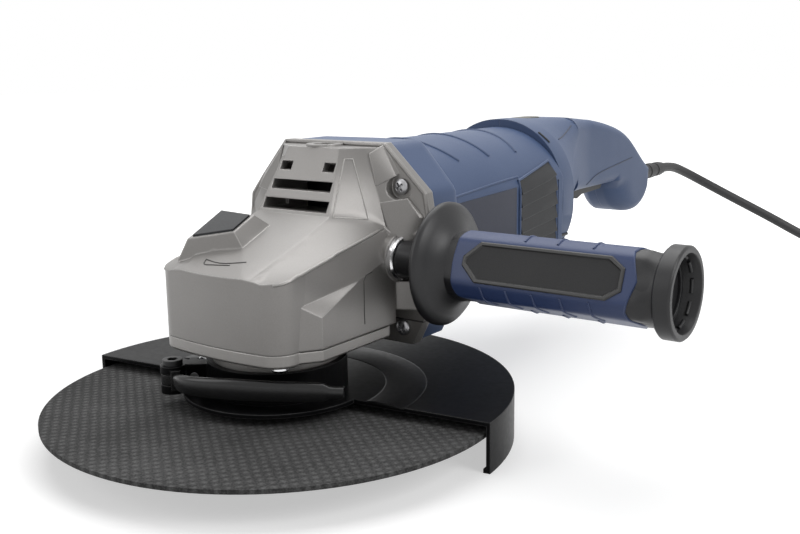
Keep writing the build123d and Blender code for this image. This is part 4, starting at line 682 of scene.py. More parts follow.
def bead(
    name: str, paths: list[list[Vector]], radius: float, finish: Finish, body: str, taper: float = 0.0,
    closed: bool = False,
) -> Piece:
    """Lays beads or filled grooves along paths.

    Args:
        name: the piece's name.
        paths: the paths, in metres.
        radius: the bead's radius, in millimetres.
        finish: its finish.
        body: the body that it rides on.
        taper: how far the ends thin out, from 0 to 1.
        closed: whether each path ends where it starts.

    Returns:
        The piece.
    """
    points: list[Vector] = []
    edges: list[tuple[int, int]] = []
    for path in paths:
        first = len(points)
        points.extend(path)
        edges.extend((first + step, first + step + 1) for step in range(len(path) - 1))
        if closed:
            edges.append((first + len(path) - 1, first))
    seed = bpy.data.meshes.new(name + "_path")
    seed.from_pydata(points, edges, [])
    return settle(BEADS.grow(name, seed, finish, Radius=radius * MM, Taper=taper), finish, body)


def smooth_path(points: Sequence[Point], steps: int = 6) -> list[Vector]:
    """Runs a smooth line through points given in millimetres.

    Args:
        points: the points.
        steps: the number of steps from each point to the next.

    Returns:
        The line's places, in metres.
    """
    given = [Vector(point) * MM for point in points]
    ends = [given[0], *given, given[-1]]
    path = []
    for before, start, end, after in zip(ends, ends[1:], ends[2:], ends[3:]):
        for step in range(steps):
            t = step / steps
            bent = start * 2.0 + (end - before) * t + (before * 2.0 - start * 5.0 + end * 4.0 - after) * t * t
            path.append((bent + (start * 3.0 - before - end * 3.0 + after) * t * t * t) * 0.5)
    return [*path, given[-1]]


def straight_path(points: Sequence[Point], steps: int = 6) -> list[Vector]:
    """Runs straight from point to point, with the points in millimetres.

    Args:
        points: the points.
        steps: the number of steps from each point to the next.

    Returns:
        The line's places, in metres.
    """
    given = [Vector(point) * MM for point in points]
    path = [start.lerp(end, step / steps) for start, end in zip(given, given[1:]) for step in range(steps)]
    return [*path, given[-1]]


def flipped(path: list[Vector]) -> list[Vector]:
    """Gives a path's mirror image on the other side of the tool."""
    return [Vector((-place.x, place.y, place.z)) for place in path]


def both_sides(block: Sequence[Point]) -> list[list[Point]]:
    """Gives a block's corners on the left of the tool and on its right."""
    return [[(side * x, y, z) for x, y, z in block] for side in (-1.0, 1.0)]


def skin(shape: Shape, rings: Sequence[Sequence[Vector]], ends: Ends) -> list[list[bmesh.types.BMVert]]:
    """Skins a row of rings.

    Args:
        shape: the shape to add the faces to.
        rings: the rings, with as many places each.
        ends: how the row is closed.

    Returns:
        The rings' corners.
    """
    rows = [[shape.verts.new(place) for place in ring] for ring in rings]
    for one, two in zip(rows, [*rows[1:], rows[0]] if ends is Ends.JOINED else rows[1:]):
        for step in range(len(one)):
            shape.faces.new((one[step], one[step - 1], two[step - 1], two[step]))
    if ends is Ends.CAPPED:
        shape.faces.new(rows[0])
        shape.faces.new(rows[-1])
    return rows


def loft(name: str, *rows: Sequence[Sequence[Vector]], ends: Ends = Ends.JOINED, angle: float = 32.0) -> Piece:
    """Makes one piece of sleeves or bars, each skinned over a row of rings.

    Args:
        name: the piece's name.
        rows: the rows of rings, in metres.
        ends: how each row is closed.
        angle: the least angle of a sharp edge, in degrees.

    Returns:
        The piece.
    """
    shape = bmesh.new()
    for rings in rows:
        skin(shape, rings, ends)
    bmesh.ops.recalc_face_normals(shape, faces=shape.faces)
    return piece_from(name, shape, angle)


def hulls(name: str, groups: Sequence[Sequence[Point]]) -> Piece:
    """Makes one piece of cast blocks, each the hull of its corners.

    Args:
        name: the piece's name.
        groups: each block's corners, in millimetres.

    Returns:
        The piece.
    """
    whole = bmesh.new()
    for group in groups:
        corners = [whole.verts.new(Vector(corner) * MM) for corner in group]
        made = bmesh.ops.convex_hull(whole, input=corners)
        spare = [part for part in made["geom_interior"] if isinstance(part, bmesh.types.BMVert)]
        bmesh.ops.delete(whole, geom=spare, context="VERTS")
    bmesh.ops.recalc_face_normals(whole, faces=whole.faces)
    return piece_from(name, whole)


class Surface:
    """A surface to lay lines on."""

    def __init__(self, *pieces: Piece) -> None:
        """Reads the surface.

        Args:
            pieces: the pieces that make it.
        """
        shape = bmesh.new()
        for piece in pieces:
            shape.from_mesh(piece.data)
        self.tree = BVHTree.FromBMesh(shape)
        shape.free()

    def lay(self, path: list[Vector], lift: float = 0.0) -> list[Vector]:
        """Moves a path's places onto the surface.

        Args:
            path: the places, in metres.
            lift: how far they stand off it, in millimetres.

        Returns:
            The laid path.
        """
        laid = []
        for place in path:
            found, normal, _, _ = self.tree.find_nearest(place)
            laid.append(found + normal * (lift * MM))
        return laid


def islands(node: str) -> list[tuple[Vector, Vector]]:
    """Finds the separate solids of a frame node.

    Args:
        node: the node's name.

    Returns:
        Each solid's lowest and highest corner.
    """
    shape = node_shape(node)
    shape.verts.index_update()
    seen: set[int] = set()
    boxes = []
    for start in shape.verts:
        if start.index in seen:
            continue
        seen.add(start.index)
        heap, places = [start], [start.co]
        while heap:
            for vert in (vert for edge in heap.pop().link_edges for vert in edge.verts):
                if vert.index not in seen:
                    seen.add(vert.index)
                    heap.append(vert)
                    places.append(vert.co)
        boxes.append((Vector(map(min, zip(*places))), Vector(map(max, zip(*places)))))
    shape.free()
    return boxes


def section(node: str, level: float) -> list[Vector]:
    """Cuts a frame node level and gives its outer outline.

    Args:
        node: the node's name.
        level: the height of the cut, in millimetres.

    Returns:
        The outline's places in order, in metres.
    """
    shape = node_shape(node)
    line = cut(shape, (0.0, 0.0, level * MM), (0.0, 0.0, 1.0))
    left = {part for part in line if isinstance(part, bmesh.types.BMEdge)}
    loops = []
    while left:
        loop = list(left.pop().verts)
        while True:
            ahead = [link for link in loop[-1].link_edges if link in left]
            if not ahead:
                break
            left.discard(ahead[0])
            loop.append(ahead[0].other_vert(loop[-1]))
        loops.append([vert.co.copy() for vert in loop])
    widest = max(loops, key=lambda loop: max(place.x for place in loop) - min(place.x for place in loop))
    shape.free()
    if (widest[0] - widest[-1]).length < TINY:
        widest.pop()
    return widest


@dataclass
class ScrewHead:
    """A round screw head with a cross recess, its sizes in millimetres and as shares of them."""

    radius: float
    height: float
    bulge: float
    sides: int = 24
    foot: float = -0.1
    wall: float = 0.4
    shoulder: float = 0.82
    arm: float = 0.6
    arm_half: float = 0.16
    crown: float = 0.12
    recess: float = 0.3
    recess_draw: float = 0.75

    def build(self) -> Piece:
        """Builds the head, facing +Z on the origin.

        Returns:
            The head.
        """
        shape = bmesh.new()
        drawn = 1.0 - 0.4 * self.bulge
        rings = []
        for share, level in ((1.0, self.foot), (1.0, self.wall), (drawn, self.shoulder)):
            wide, high = share * self.radius, level * self.height
            rings.append([Vector((wide * math.cos(a), wide * math.sin(a), high)) for a in turns(self.sides)])
        shape.faces.new(skin(shape, rings, Ends.OPEN)[0])
        arm, half = self.arm * self.radius, self.arm_half * self.radius
        quarter = [Vector((arm, -half, 0.0)), Vector((arm, half, 0.0)), Vector((half, half, 0.0))]
        cross = [Matrix.Rotation(turn, 3, "Z") @ corner for turn in turns(4) for corner in quarter]
        top = [Vector((*c.xy, self.height * (1.0 - self.crown * c.length / self.radius))) for c in cross]
        deep = [Vector((*(c.xy * self.recess_draw), self.recess * self.height)) for c in cross]
        shape.faces.new(skin(shape, [top, deep], Ends.OPEN)[-1])
        edges = [edge for edge in shape.edges if len(edge.link_faces) == 1]
        bmesh.ops.triangle_fill(shape, edges=edges, use_beauty=True, normal=(0.0, 0.0, 1.0))
        bmesh.ops.scale(shape, verts=shape.verts, vec=(MM, MM, MM))
        bmesh.ops.recalc_face_normals(shape, faces=shape.faces)
        return piece_from("cross_screw", shape)

    def set_in(self, name: str, node: str, axis: int, sunk: float, along: Point, finish: Finish, body: str) -> Piece:
        """Stands the head on each of a node's screws, all facing back along an axis.

        Args:
            name: the piece's name.
            node: the screws' frame node, which the heads replace.
            axis: the axis's number.
            sunk: how far the heads' seats lie inside the screws' ends, in millimetres.
            along: the way that the crosses are turned to.
            finish: the heads' finish.
            body: the body that they ride on.

        Returns:
            The piece.
        """
        spots: list[Spot] = []
        for low, high in islands(node):
            place, facing = (low + high) / 2.0, Vector()
            place[axis] = low[axis] + sunk * MM
            facing[axis] = -1.0
            spots.append((place, facing, Vector(along)))
        seed = bpy.data.meshes.new(name + "_spots")
        seed.from_pydata([spot[0] for spot in spots], [], [])
        for index, key in ((1, "facing"), (2, "along")):
            field = seed.attributes.new(key, "FLOAT_VECTOR", "POINT")
            for value, spot in zip(field.data, spots):
                value.vector = spot[index]
        head = self.build()
        piece = STUDS.grow(name, seed, finish, head)
        bpy.data.objects.remove(head)
        return settle(piece, finish, body, node)


@dataclass
class Studio:
    """The camera, the floor and the lights of a plain soft studio, its sizes in metres."""

    eye: Point = (0.3363, -0.3520, 0.1785)
    target: Point = (0.074473, 0.003658, 0.088546)
    lens_mm: float = 45.0
    sensor_mm: float = 36.0
    roll_deg: float = -0.809
    clip: Flat = (0.01, 50.0)
    floor_z: float = -0.003
    floor_half: float = 6.0
    floor_tone: float = 0.62
    floor_rough: float = 0.9
    glow_span: Flat = (0.25, 0.75)
    glow_least: float = 0.5
    ambient: float = 0.22
    lamps: tuple[tuple[str, Point, Point, float, float], ...] = (
        ("top_softbox", (-0.25, 0.35, 1.3), (0.0, 0.1, 0.05), 1.3, 14.0),
        ("front_softbox", (-0.9, -1.1, 0.9), (0.0, 0.0, 0.05), 0.9, 5.0),
        ("side_softbox", (1.25, 0.06, 0.98), (0.0, 0.05, 0.1), 0.7, 8.0),
    )

    def build(self) -> None:
        """Builds the whole studio."""
        bpy.context.scene.view_settings.view_transform = "Standard"
        self.camera()
        self.floor()
        self.world()
        for lamp in self.lamps:
            self.lamp(*lamp)

    def camera(self) -> None:
        """Stands the camera where the photograph was taken from."""
        data = bpy.data.cameras.new("view")
        data.lens = self.lens_mm
        data.sensor_width = self.sensor_mm
        data.clip_start, data.clip_end = self.clip
        camera = bpy.data.objects.new("view", data)
        bpy.context.scene.collection.objects.link(camera)
        ahead = (Vector(self.target) - Vector(self.eye)).normalized()
        roll = Quaternion((0.0, 0.0, 1.0), math.radians(self.roll_deg))
        camera.rotation_mode = "QUATERNION"
        camera.location = self.eye
        camera.rotation_quaternion = ahead.to_track_quat("-Z", "Y") @ roll
        bpy.context.scene.camera = camera

    def floor(self) -> None:
        """Lays a pale floor that shows white and keeps the shadows."""
        shape = bmesh.new()
        bmesh.ops.create_grid(shape, x_segments=4, y_segments=4, size=self.floor_half)
        bmesh.ops.translate(shape, verts=shape.verts, vec=(0.0, 0.0, self.floor_z))
        floor = piece_from("floor", shape)
        board = NodeBoard("pale_floor")
        board.shader.inputs["Roughness"].default_value = self.floor_rough
        board.shader.inputs["Specular IOR Level"].default_value = 0.0
        board.shader.inputs["Base Color"].default_value = (*[self.floor_tone] * 3, 1.0)
        glow = board.add("Emission", Color=WHITE)
        apart = board.add("VectorMath", operation="LENGTH")
        board.join(board.add("TexCoord").outputs["Object"], apart.inputs[0])
        open_floor = board.span(apart.outputs["Value"], *self.glow_span, self.glow_least, 1.0)
        board.join(board.math("MULTIPLY", board.in_view(), open_floor), glow.inputs["Strength"])
        both = board.add("AddShader")
        board.join(board.shader.outputs[0], both.inputs[0])
        board.join(glow.outputs[0], both.inputs[1])
        board.join(both.outputs[0], board.tree.nodes["Material Output"].inputs["Surface"])
        floor.data.materials.append(board.material)

    def world(self) -> None:
        """Surrounds the object with even light that shows as white."""
        world = bpy.data.worlds.new("studio")
        world.use_nodes = True
        board = ShaderBoard(world.node_tree)
        back = board.tree.nodes["Background"].inputs
        back["Color"].default_value = WHITE
        board.join(board.span(board.in_view(), 0.0, 1.0, self.ambient, 1.0), back["Strength"])
        bpy.context.scene.world = world

    def lamp(self, name: str, place: Point, aim: Point, size: float, watts: float) -> None:
        """Hangs a square soft light.

        Args:
            name: the light's name.
            place: where it hangs.
            aim: the point that it faces.
            size: the length of its side.
            watts: its power.
        """
        data = bpy.data.lights.new(name, "AREA")
        data.size = size
        data.energy = watts
        lamp = bpy.data.objects.new(name, data)
        lamp.location = place
        lamp.rotation_mode = "QUATERNION"
        lamp.rotation_quaternion = (Vector(aim) - Vector(place)).to_track_quat("-Z", "Y")
        bpy.context.scene.collection.objects.link(lamp)


@dataclass
class MainsLead:
    """The mains lead: a free run off the rear grip, its put-away coil, the tie and the plug."""

    radius: float = 4.0
    coil_x: float = 212.0
    coil_y: float = 480.0
    coil_z: float = 2.0
    outer_r: float = 64.0
    step: float = 8.6
    turns: float = 7.0 + 80.0 / 360.0
    turns_in: float = 3.5
    climb: float = 0.25
    start_deg: float = 80.0
    nudge: float = 0.002
    lead_in: float = 26.0
    tail: float = 54.0
    tail_shares: Flat = (0.4, 1.0)
    points_a_turn: int = 16
    real_length: float = 2.55
    free_run: tuple[Point, ...] = (
        (0.0, 494.0, 85.0), (0.0, 517.0, 85.0), (4.0, 540.0, 78.0), (16.0, 561.0, 66.5), (40.0, 575.0, 51.5),
        (72.0, 579.5, 36.0), (104.0, 576.0, 21.5), (138.0, 568.0, 10.8), (170.0, 559.0, 4.5),
    )

    def coil_place(self, turn: float) -> Vector:
        """Gives the coil's centre line.

        Args:
            turn: how many turns in from its start.

        Returns:
            The place, in millimetres.
        """
        inward = min(turn, self.turns_in)
        outward = max(turn - self.turns_in - self.climb, 0.0)
        climbed = min(max(turn - self.turns_in, 0.0), self.climb) / self.climb
        radius = self.outer_r + self.step * (outward - inward)
        angle = math.radians(self.start_deg) - 2.0 * math.pi * turn
        across = Vector((math.cos(angle), math.sin(angle), 0.0)) * radius
        return Vector((self.coil_x, self.coil_y, self.coil_z + self.step * climbed)) + across

    def route(self) -> list[Vector]:
        """Works out the lead's control points, from the grip to the plug.

        Returns:
            The points, in millimetres.
        """
        start = self.coil_place(0.0)
        entry = (self.coil_place(self.nudge) - start).normalized()
        entry.z = 0.0
        count = int(self.turns * self.points_a_turn)
        coil = [self.coil_place(self.turns * step / count) for step in range(count + 1)]
        heading = (coil[-1] - self.coil_place(self.turns - self.nudge)).normalized()
        ends = [coil[-1] + heading * (self.tail * share) for share in self.tail_shares]
        return [*map(Vector, self.free_run), start - entry * self.lead_in, *coil, *ends]

    def build(self) -> None:
        """Lays the lead and dresses what is on it."""
        curve = bpy.data.curves.new("mains_lead", "CURVE")
        curve.dimensions = "3D"
        spline = curve.splines.new("NURBS")
        route = self.route()
        spline.points.add(len(route) - 1)
        for point, place in zip(spline.points, route):
            point.co = (*(place * MM), 1.0)
        spline.order_u = 3
        spline.use_endpoint_u = True
        spline.resolution_u = 6
        curve.bevel_depth = self.radius * MM
        curve.bevel_resolution = 5
        curve.use_fill_caps = True
        lead = bpy.data.objects.new("mains_lead", curve)
        bpy.context.scene.collection.objects.link(lead)
        settle(lead, RUBBER, "body", "power_cord", "cord_coil")
        ends = (("cord_tie", BLACK), ("plug_body", RUBBER), ("plug_pins", BRIGHT))
        pieces = [dress(node, finish, "body") for node, finish in ends]


@dataclass
class GearHead:
    """The cast gear head with its cover, screws and spindle lock."""

    roof_y: float = -43.0
    roof_z: float = 82.6
    roof_slope: float = 0.40
    roof_reach: float = 0.15
    crown_front: float = 20.0
    crown_back: float = 24.0
    crown_end_y: float = 9.3
    crown_rise: float = 1.9
    crown_folds: tuple[float, ...] = (0.0, 4.0, 8.0, 12.0)
    seam_z: float = 50.4
    core_x: float = 38.0
    pad_front: Flat = (39.5, -28.6)
    pad_edge: Flat = (46.4, -18.4)
    pad_rear: Flat = (45.4, 39.0)
    pad_peak: Point = (46.3, 8.4, 77.7)
    pad_front_z: float = 71.1
    pad_front_set: float = 2.8
    pad_edge_z: float = 65.6
    pad_rear_z: float = 86.0
    pad_core_z: float = 84.0
    flare_front: Flat = (-24.0, 86.4)
    flare_rear: Flat = (40.1, 98.2)
    cover_rear: float = 33.5
    cover_edge: tuple[Flat, ...] = ((50.2, 0.0), (45.4, 0.0), (44.4, 1.0))
    edge_band: tuple[Point, ...] = (
        (-60.2, 48.4, 62.0), (-60.2, 48.4, 98.0), (-58.7, 48.4, 108.7), (-50.3, 48.4, 118.9), (-33.0, 48.4, 138.4),
        (33.6, 48.4, 138.4), (57.2, 48.4, 115.6), (60.2, 48.4, 98.0), (60.2, 48.4, 62.0),
    )
    roof_edge: tuple[Point, ...] = (
        (35.4, -38.4, 82.9), (39.4, -32.7, 83.9), (39.9, -23.1, 86.6), (40.0, -9.3, 89.5), (40.0, 4.1, 91.9),
        (40.0, 18.7, 94.7), (40.0, 33.9, 97.7),
    )
    arrow: tuple[Point, ...] = ((-13.5, -31.0, 87.4), (-6.5, -32.2, 86.9), (0.4, -32.0, 87.0), (10.8, -28.9, 88.2))
    arrow_barb: tuple[Point, ...] = (
        (-13.5, -31.0, 87.4), (-11.0, -34.8, 85.9), (-5.0, -34.4, 86.1), (4.0, -33.0, 86.6),
    )
    facet_border: tuple[Point, ...] = (
        (20.4, 31.8, 132.3), (23.5, 34.7, 132.2), (34.4, 32.1, 103.2), (25.1, 16.2, 105.5), (20.4, 31.8, 132.3),
    )
    draft_line: tuple[Point, ...] = (
        (46.6, 19.6, 80.3), (46.6, 14.6, 79.5), (46.6, 12.9, 77.1), (46.6, 13.0, 62.1), (46.6, 13.3, 55.7),
    )
    upper_block: tuple[Point, ...] = (
        (29.6, 39.8, 134.8), (33.4, 39.9, 118.6), (33.4, 45.0, 135.6), (41.2, 45.0, 123.4), (27.0, 47.8, 137.2),
        (33.0, 47.8, 119.0), (33.2, 47.8, 138.9), (42.0, 47.8, 124.0), (37.0, 47.8, 120.6),
    )
    lower_block: tuple[Point, ...] = (
        (35.8, 39.7, 110.8), (40.3, 39.7, 99.3), (56.2, 45.6, 103.9), (49.3, 44.6, 113.2), (44.2, 38.9, 90.0),
        (55.6, 46.2, 92.0), (35.0, 47.8, 111.0), (49.0, 47.8, 113.6), (57.4, 47.8, 104.2), (56.6, 47.8, 92.0),
        (38.0, 47.8, 90.0),
    )
    channel_block: tuple[Point, ...] = (
        (32.6, 42.0, 120.0), (34.8, 42.0, 110.6), (37.6, 47.6, 121.6), (38.2, 47.6, 112.0), (32.0, 47.8, 120.0),
        (34.0, 47.8, 110.6),
    )
    left_block: tuple[Point, ...] = (
        (-27.4, 39.4, 137.2), (-30.5, 40.4, 132.6), (-43.0, 41.0, 120.4), (-48.5, 41.6, 113.6), (-36.0, 39.4, 111.0),
        (-32.8, 47.8, 138.9), (-50.4, 47.8, 119.4), (-54.0, 47.8, 113.6), (-36.0, 47.8, 111.0),
    )

    def build(self) -> None:
        """Builds the head's castings and dresses them."""
        case = node_shape("gear_case")
        self.crown(case)
        casting = settle(piece_from("gear_case_skin", case), CASTING, "body", "gear_case")
        dress("bearing_cover", PALE_CASTING_AND_HIGHLIGHT, "body")
        dress("lock_button", PAD, "lock")
        flange, cover = ScrewHead(4.0, 2.2, 0.6), ScrewHead(4.6, 2.4, 0.6)
        flange.set_in("flange_screw_heads", "flange_screws", 1, 2.0, (0.8, 0.0, 0.6), STEEL, "body")
        cover.set_in("cover_screw_heads", "cover_screws", 2, 1.8, (0.6, 0.8, 0.0), BRIGHT, "body")
        blocks = [self.upper_block, self.channel_block, self.left_block, *both_sides(self.lower_block)]
        settle(hulls("shoulder_blocks", blocks), CASTING, "body")
        self.lines(Surface(casting, self.pads()))

    def pads(self) -> Piece:
        """Builds the raised pad low on each side, the flare above it and the cover's edge below it.

        Returns:
            The pads and flares.
        """
        front, edge, rear = self.pad_front, self.pad_edge, self.pad_rear
        outline = [(self.core_x, front[1]), front, edge, rear, (self.core_x, rear[1])]
        brow = (front[0], front[1] + self.pad_front_set, self.pad_front_z)
        back = (*rear, self.pad_rear_z)
        pad = [(x, y, self.seam_z + 0.3) for x, y in outline]
        pad += [brow, (*edge, self.pad_edge_z), self.pad_peak, back, (self.core_x, rear[1], self.pad_core_z)]
        ridge = (self.flare_rear[0], rear[1], self.flare_rear[1])
        flare = [brow, (front[0], *self.flare_front), self.pad_peak, back, ridge]
        flare += [(self.core_x, y, z) for _, y, z in flare]
        rim = [(x - draw, min(y, self.cover_rear) + draw, z) for x, y in outline for z, draw in self.cover_edge]
        settle(hulls("cover_edges", both_sides(rim)), PALE_CASTING_AND_HIGHLIGHT, "body")
        return settle(hulls("side_pads", [*both_sides(pad), *both_sides(flare)]), CASTING, "body")

    def crown(self, shape: Shape) -> None:
        """Folds the roof up along two ridges that run back to the tower.

        Args:
            shape: the case's shape.
        """
        fall, length = self.crown_folds[-1], self.crown_end_y - self.roof_y
        for side in (-1.0, 1.0):
            for apart in self.crown_folds:
                front = Vector((side * (self.crown_front + apart), self.roof_y, 0.0)) * MM
                back = Vector((side * (self.crown_back + apart), self.crown_end_y, 0.0)) * MM
                roof = [face for face in shape.faces if any(self.on_roof(vert.co) for vert in face.verts)]
                faces = [face for face in roof if face.normal.y < 0.3]
                cut(shape, front, (back - front).cross((0.0, 0.0, 1.0)), faces, TINY)
        for vert in shape.verts:
            if self.on_roof(vert.co):
                share = (vert.co.y / MM - self.roof_y) / length
                ridge = between(self.crown_front, self.crown_back, share)
                outside = held((abs(vert.co.x / MM) - ridge) / fall)
                vert.co.z += self.crown_rise * MM * (1.0 - share) * (1.0 - outside)

    def on_roof(self, place: Vector) -> bool:
        """Says whether a place lies on the roof in front of the tower.

        Args:
            place: the place, in metres.

        Returns:
            Whether it does.
        """
        y, z = place.y / MM, place.z / MM
        roof = self.roof_z + self.roof_slope * (y - self.roof_y)
        return y < self.crown_end_y + 0.1 and abs(z - roof) < self.roof_reach

    def lines(self, case: Surface) -> None:
        """Lays the seam, the engraved arrow and the draft lines as beads of painted groove shade, the cast edge band,
        and the roof edges and cast borders in the paler casting that paints their highlight.

        Args:
            case: the gear case's surface.
        """
        # Dark beads of painted shade for the seam, the arrow and the draft lines.
        bead("cover_seam", [section("gear_case", self.seam_z + 0.25)], 0.42, GROOVE_SHADE, "body", closed=True)
        bead("flange_edge", [straight_path(self.edge_band, 1)], 1.3, CASTING, "body")
        # Paler beads that paint the highlight along the roof edges; the facet borders below get the same paler
        # casting.
        edge = case.lay(smooth_path(self.roof_edge), -0.45)
        bead("roof_edges", [edge, flipped(edge)], 0.9, PALE_CASTING_AND_HIGHLIGHT, "body", taper=0.6)
        arrow = [case.lay(smooth_path(path), 0.05) for path in (self.arrow, self.arrow_barb)]
        bead("turn_arrow", arrow, 0.3, GROOVE_SHADE, "body", taper=0.5)
        border = case.lay(straight_path(self.facet_border, 8))
        bead("facet_borders", [border, flipped(border)], 0.35, PALE_CASTING_AND_HIGHLIGHT, "body")
        draft = case.lay(straight_path(self.draft_line))
        bead("draft_lines", [draft, flipped(draft)], 0.25, GROOVE_SHADE, "body")


@dataclass
class GuardSet:
    """The disc guard with its clamp, and the disc on the spindle."""

    plate_z: float = 21.3
    step_turn: tuple[Flat, ...] = (
        (54.0, -0.6), (54.0, 0.02), (58.5, 0.55), (66.0, 0.7), (69.0, 0.6), (75.0, 0.02), (75.0, -0.6),
    )
    step_deg: Flat = (3.0, 177.0)
    step_parts: int = 96
    lever_cut: float = 9.0
    lever_start: float = 6.0
    lever_half: float = 2.25
    lever_corner: float = 0.62
    lever_sides: int = 20
    lever_line: tuple[Point, ...] = (
        (-34.47, -38.0, 28.7), (-14.0, -46.5, 30.2), (20.0, -38.5, 31.6), (57.0, -17.0, 31.6),
    )
    lever_heights: tuple[Flat, ...] = (
        (0.0, 2.3), (8.0, 2.9), (14.0, 4.2), (46.0, 5.4), (86.0, 4.7), (91.5, 4.4), (94.0, 2.9), (120.0, 2.6),
    )

    def build(self) -> None:
        """Dresses the guard, the lever and the disc."""
        guard = (("guard_shell", GUARD), ("clamp_band", GUARD), ("clamp_bolt", STEEL), ("lever_pin", BLACK))
        for node, finish in guard:
            dress(node, finish, "guard")
        self.lever()
        disc = (("cutting_disc", DISC), ("disc_ring", BRIGHT), ("clamp_nut", STEEL), ("inner_flange", STEEL))
        for node, finish in disc:
            dress(node, finish, "spindle_set")
        self.pressing()

    def lever(self) -> None:
        """Keeps the clamp lever's eye and runs a rounded bar out from it to a flat tip."""
        shape = node_shape("clamp_lever")
        line = smooth_path(self.lever_line, 14)
        level = Vector((1.0, 1.0, 0.0))
        way = (line[8] - line[0]) * level
        cut(shape, line[0] * level + way.normalized() * (self.lever_cut * MM), way, None, TINY, True)
        bmesh.ops.holes_fill(shape, edges=shape.edges, sides=0)
        settle(piece_from("lever_skin", shape), LEVER, "lever", "clamp_lever")
        rings, run = [], 0.0
        for before, place, after in zip(line, line[1:], line[2:] + line[-1:]):
            run += (place - before).length / MM
            if run >= self.lever_start:
                out = (after - before).cross((0.0, 0.0, 1.0)).normalized()
                rings.append([place + corner for corner in self.bar_ring(out, self.bar_height(run))])
        settle(loft("lever_bar", rings, ends=Ends.CAPPED), LEVER, "lever")

    def bar_height(self, run: float) -> float:
        """Gives half the lever bar's height at a distance along it.

        Args:
            run: the distance from the pivot, in millimetres.

        Returns:
            Half the height, in millimetres.
        """
        for (start, one), (end, two) in zip(self.lever_heights, self.lever_heights[1:]):
            if run <= end:
                return between(one, two, (run - start) / (end - start))
        return self.lever_heights[-1][1]

    def bar_ring(self, out: Vector, height: float) -> list[Vector]:
        """Gives the rounded section of the lever's bar about its middle.

        Args:
            out: the direction across the bar.
            height: half its height, in millimetres.

        Returns:
            The section's places, in metres.
        """
        ring = []
        for angle in turns(self.lever_sides):
            across, up = (
                math.copysign(abs(part) ** self.lever_corner, part) for part in (math.cos(angle), math.sin(angle))
            )
            ring.append(out * (across * self.lever_half * MM) + Vector((0.0, 0.0, up * height * MM)))
        return ring

    def pressing(self) -> None:
        """Presses a wide round step into the guard's plate."""
        rings = []
        for part in range(self.step_parts + 1):
            angle = math.radians(between(*self.step_deg, part / self.step_parts))
            way = Vector((math.cos(angle), math.sin(angle), 0.0))
            rings.append([(way * r + Vector((0.0, 0.0, self.plate_z + rise))) * MM for r, rise in self.step_turn])
        settle(loft("guard_step", rings, ends=Ends.CAPPED), GUARD_PLAIN, "guard")


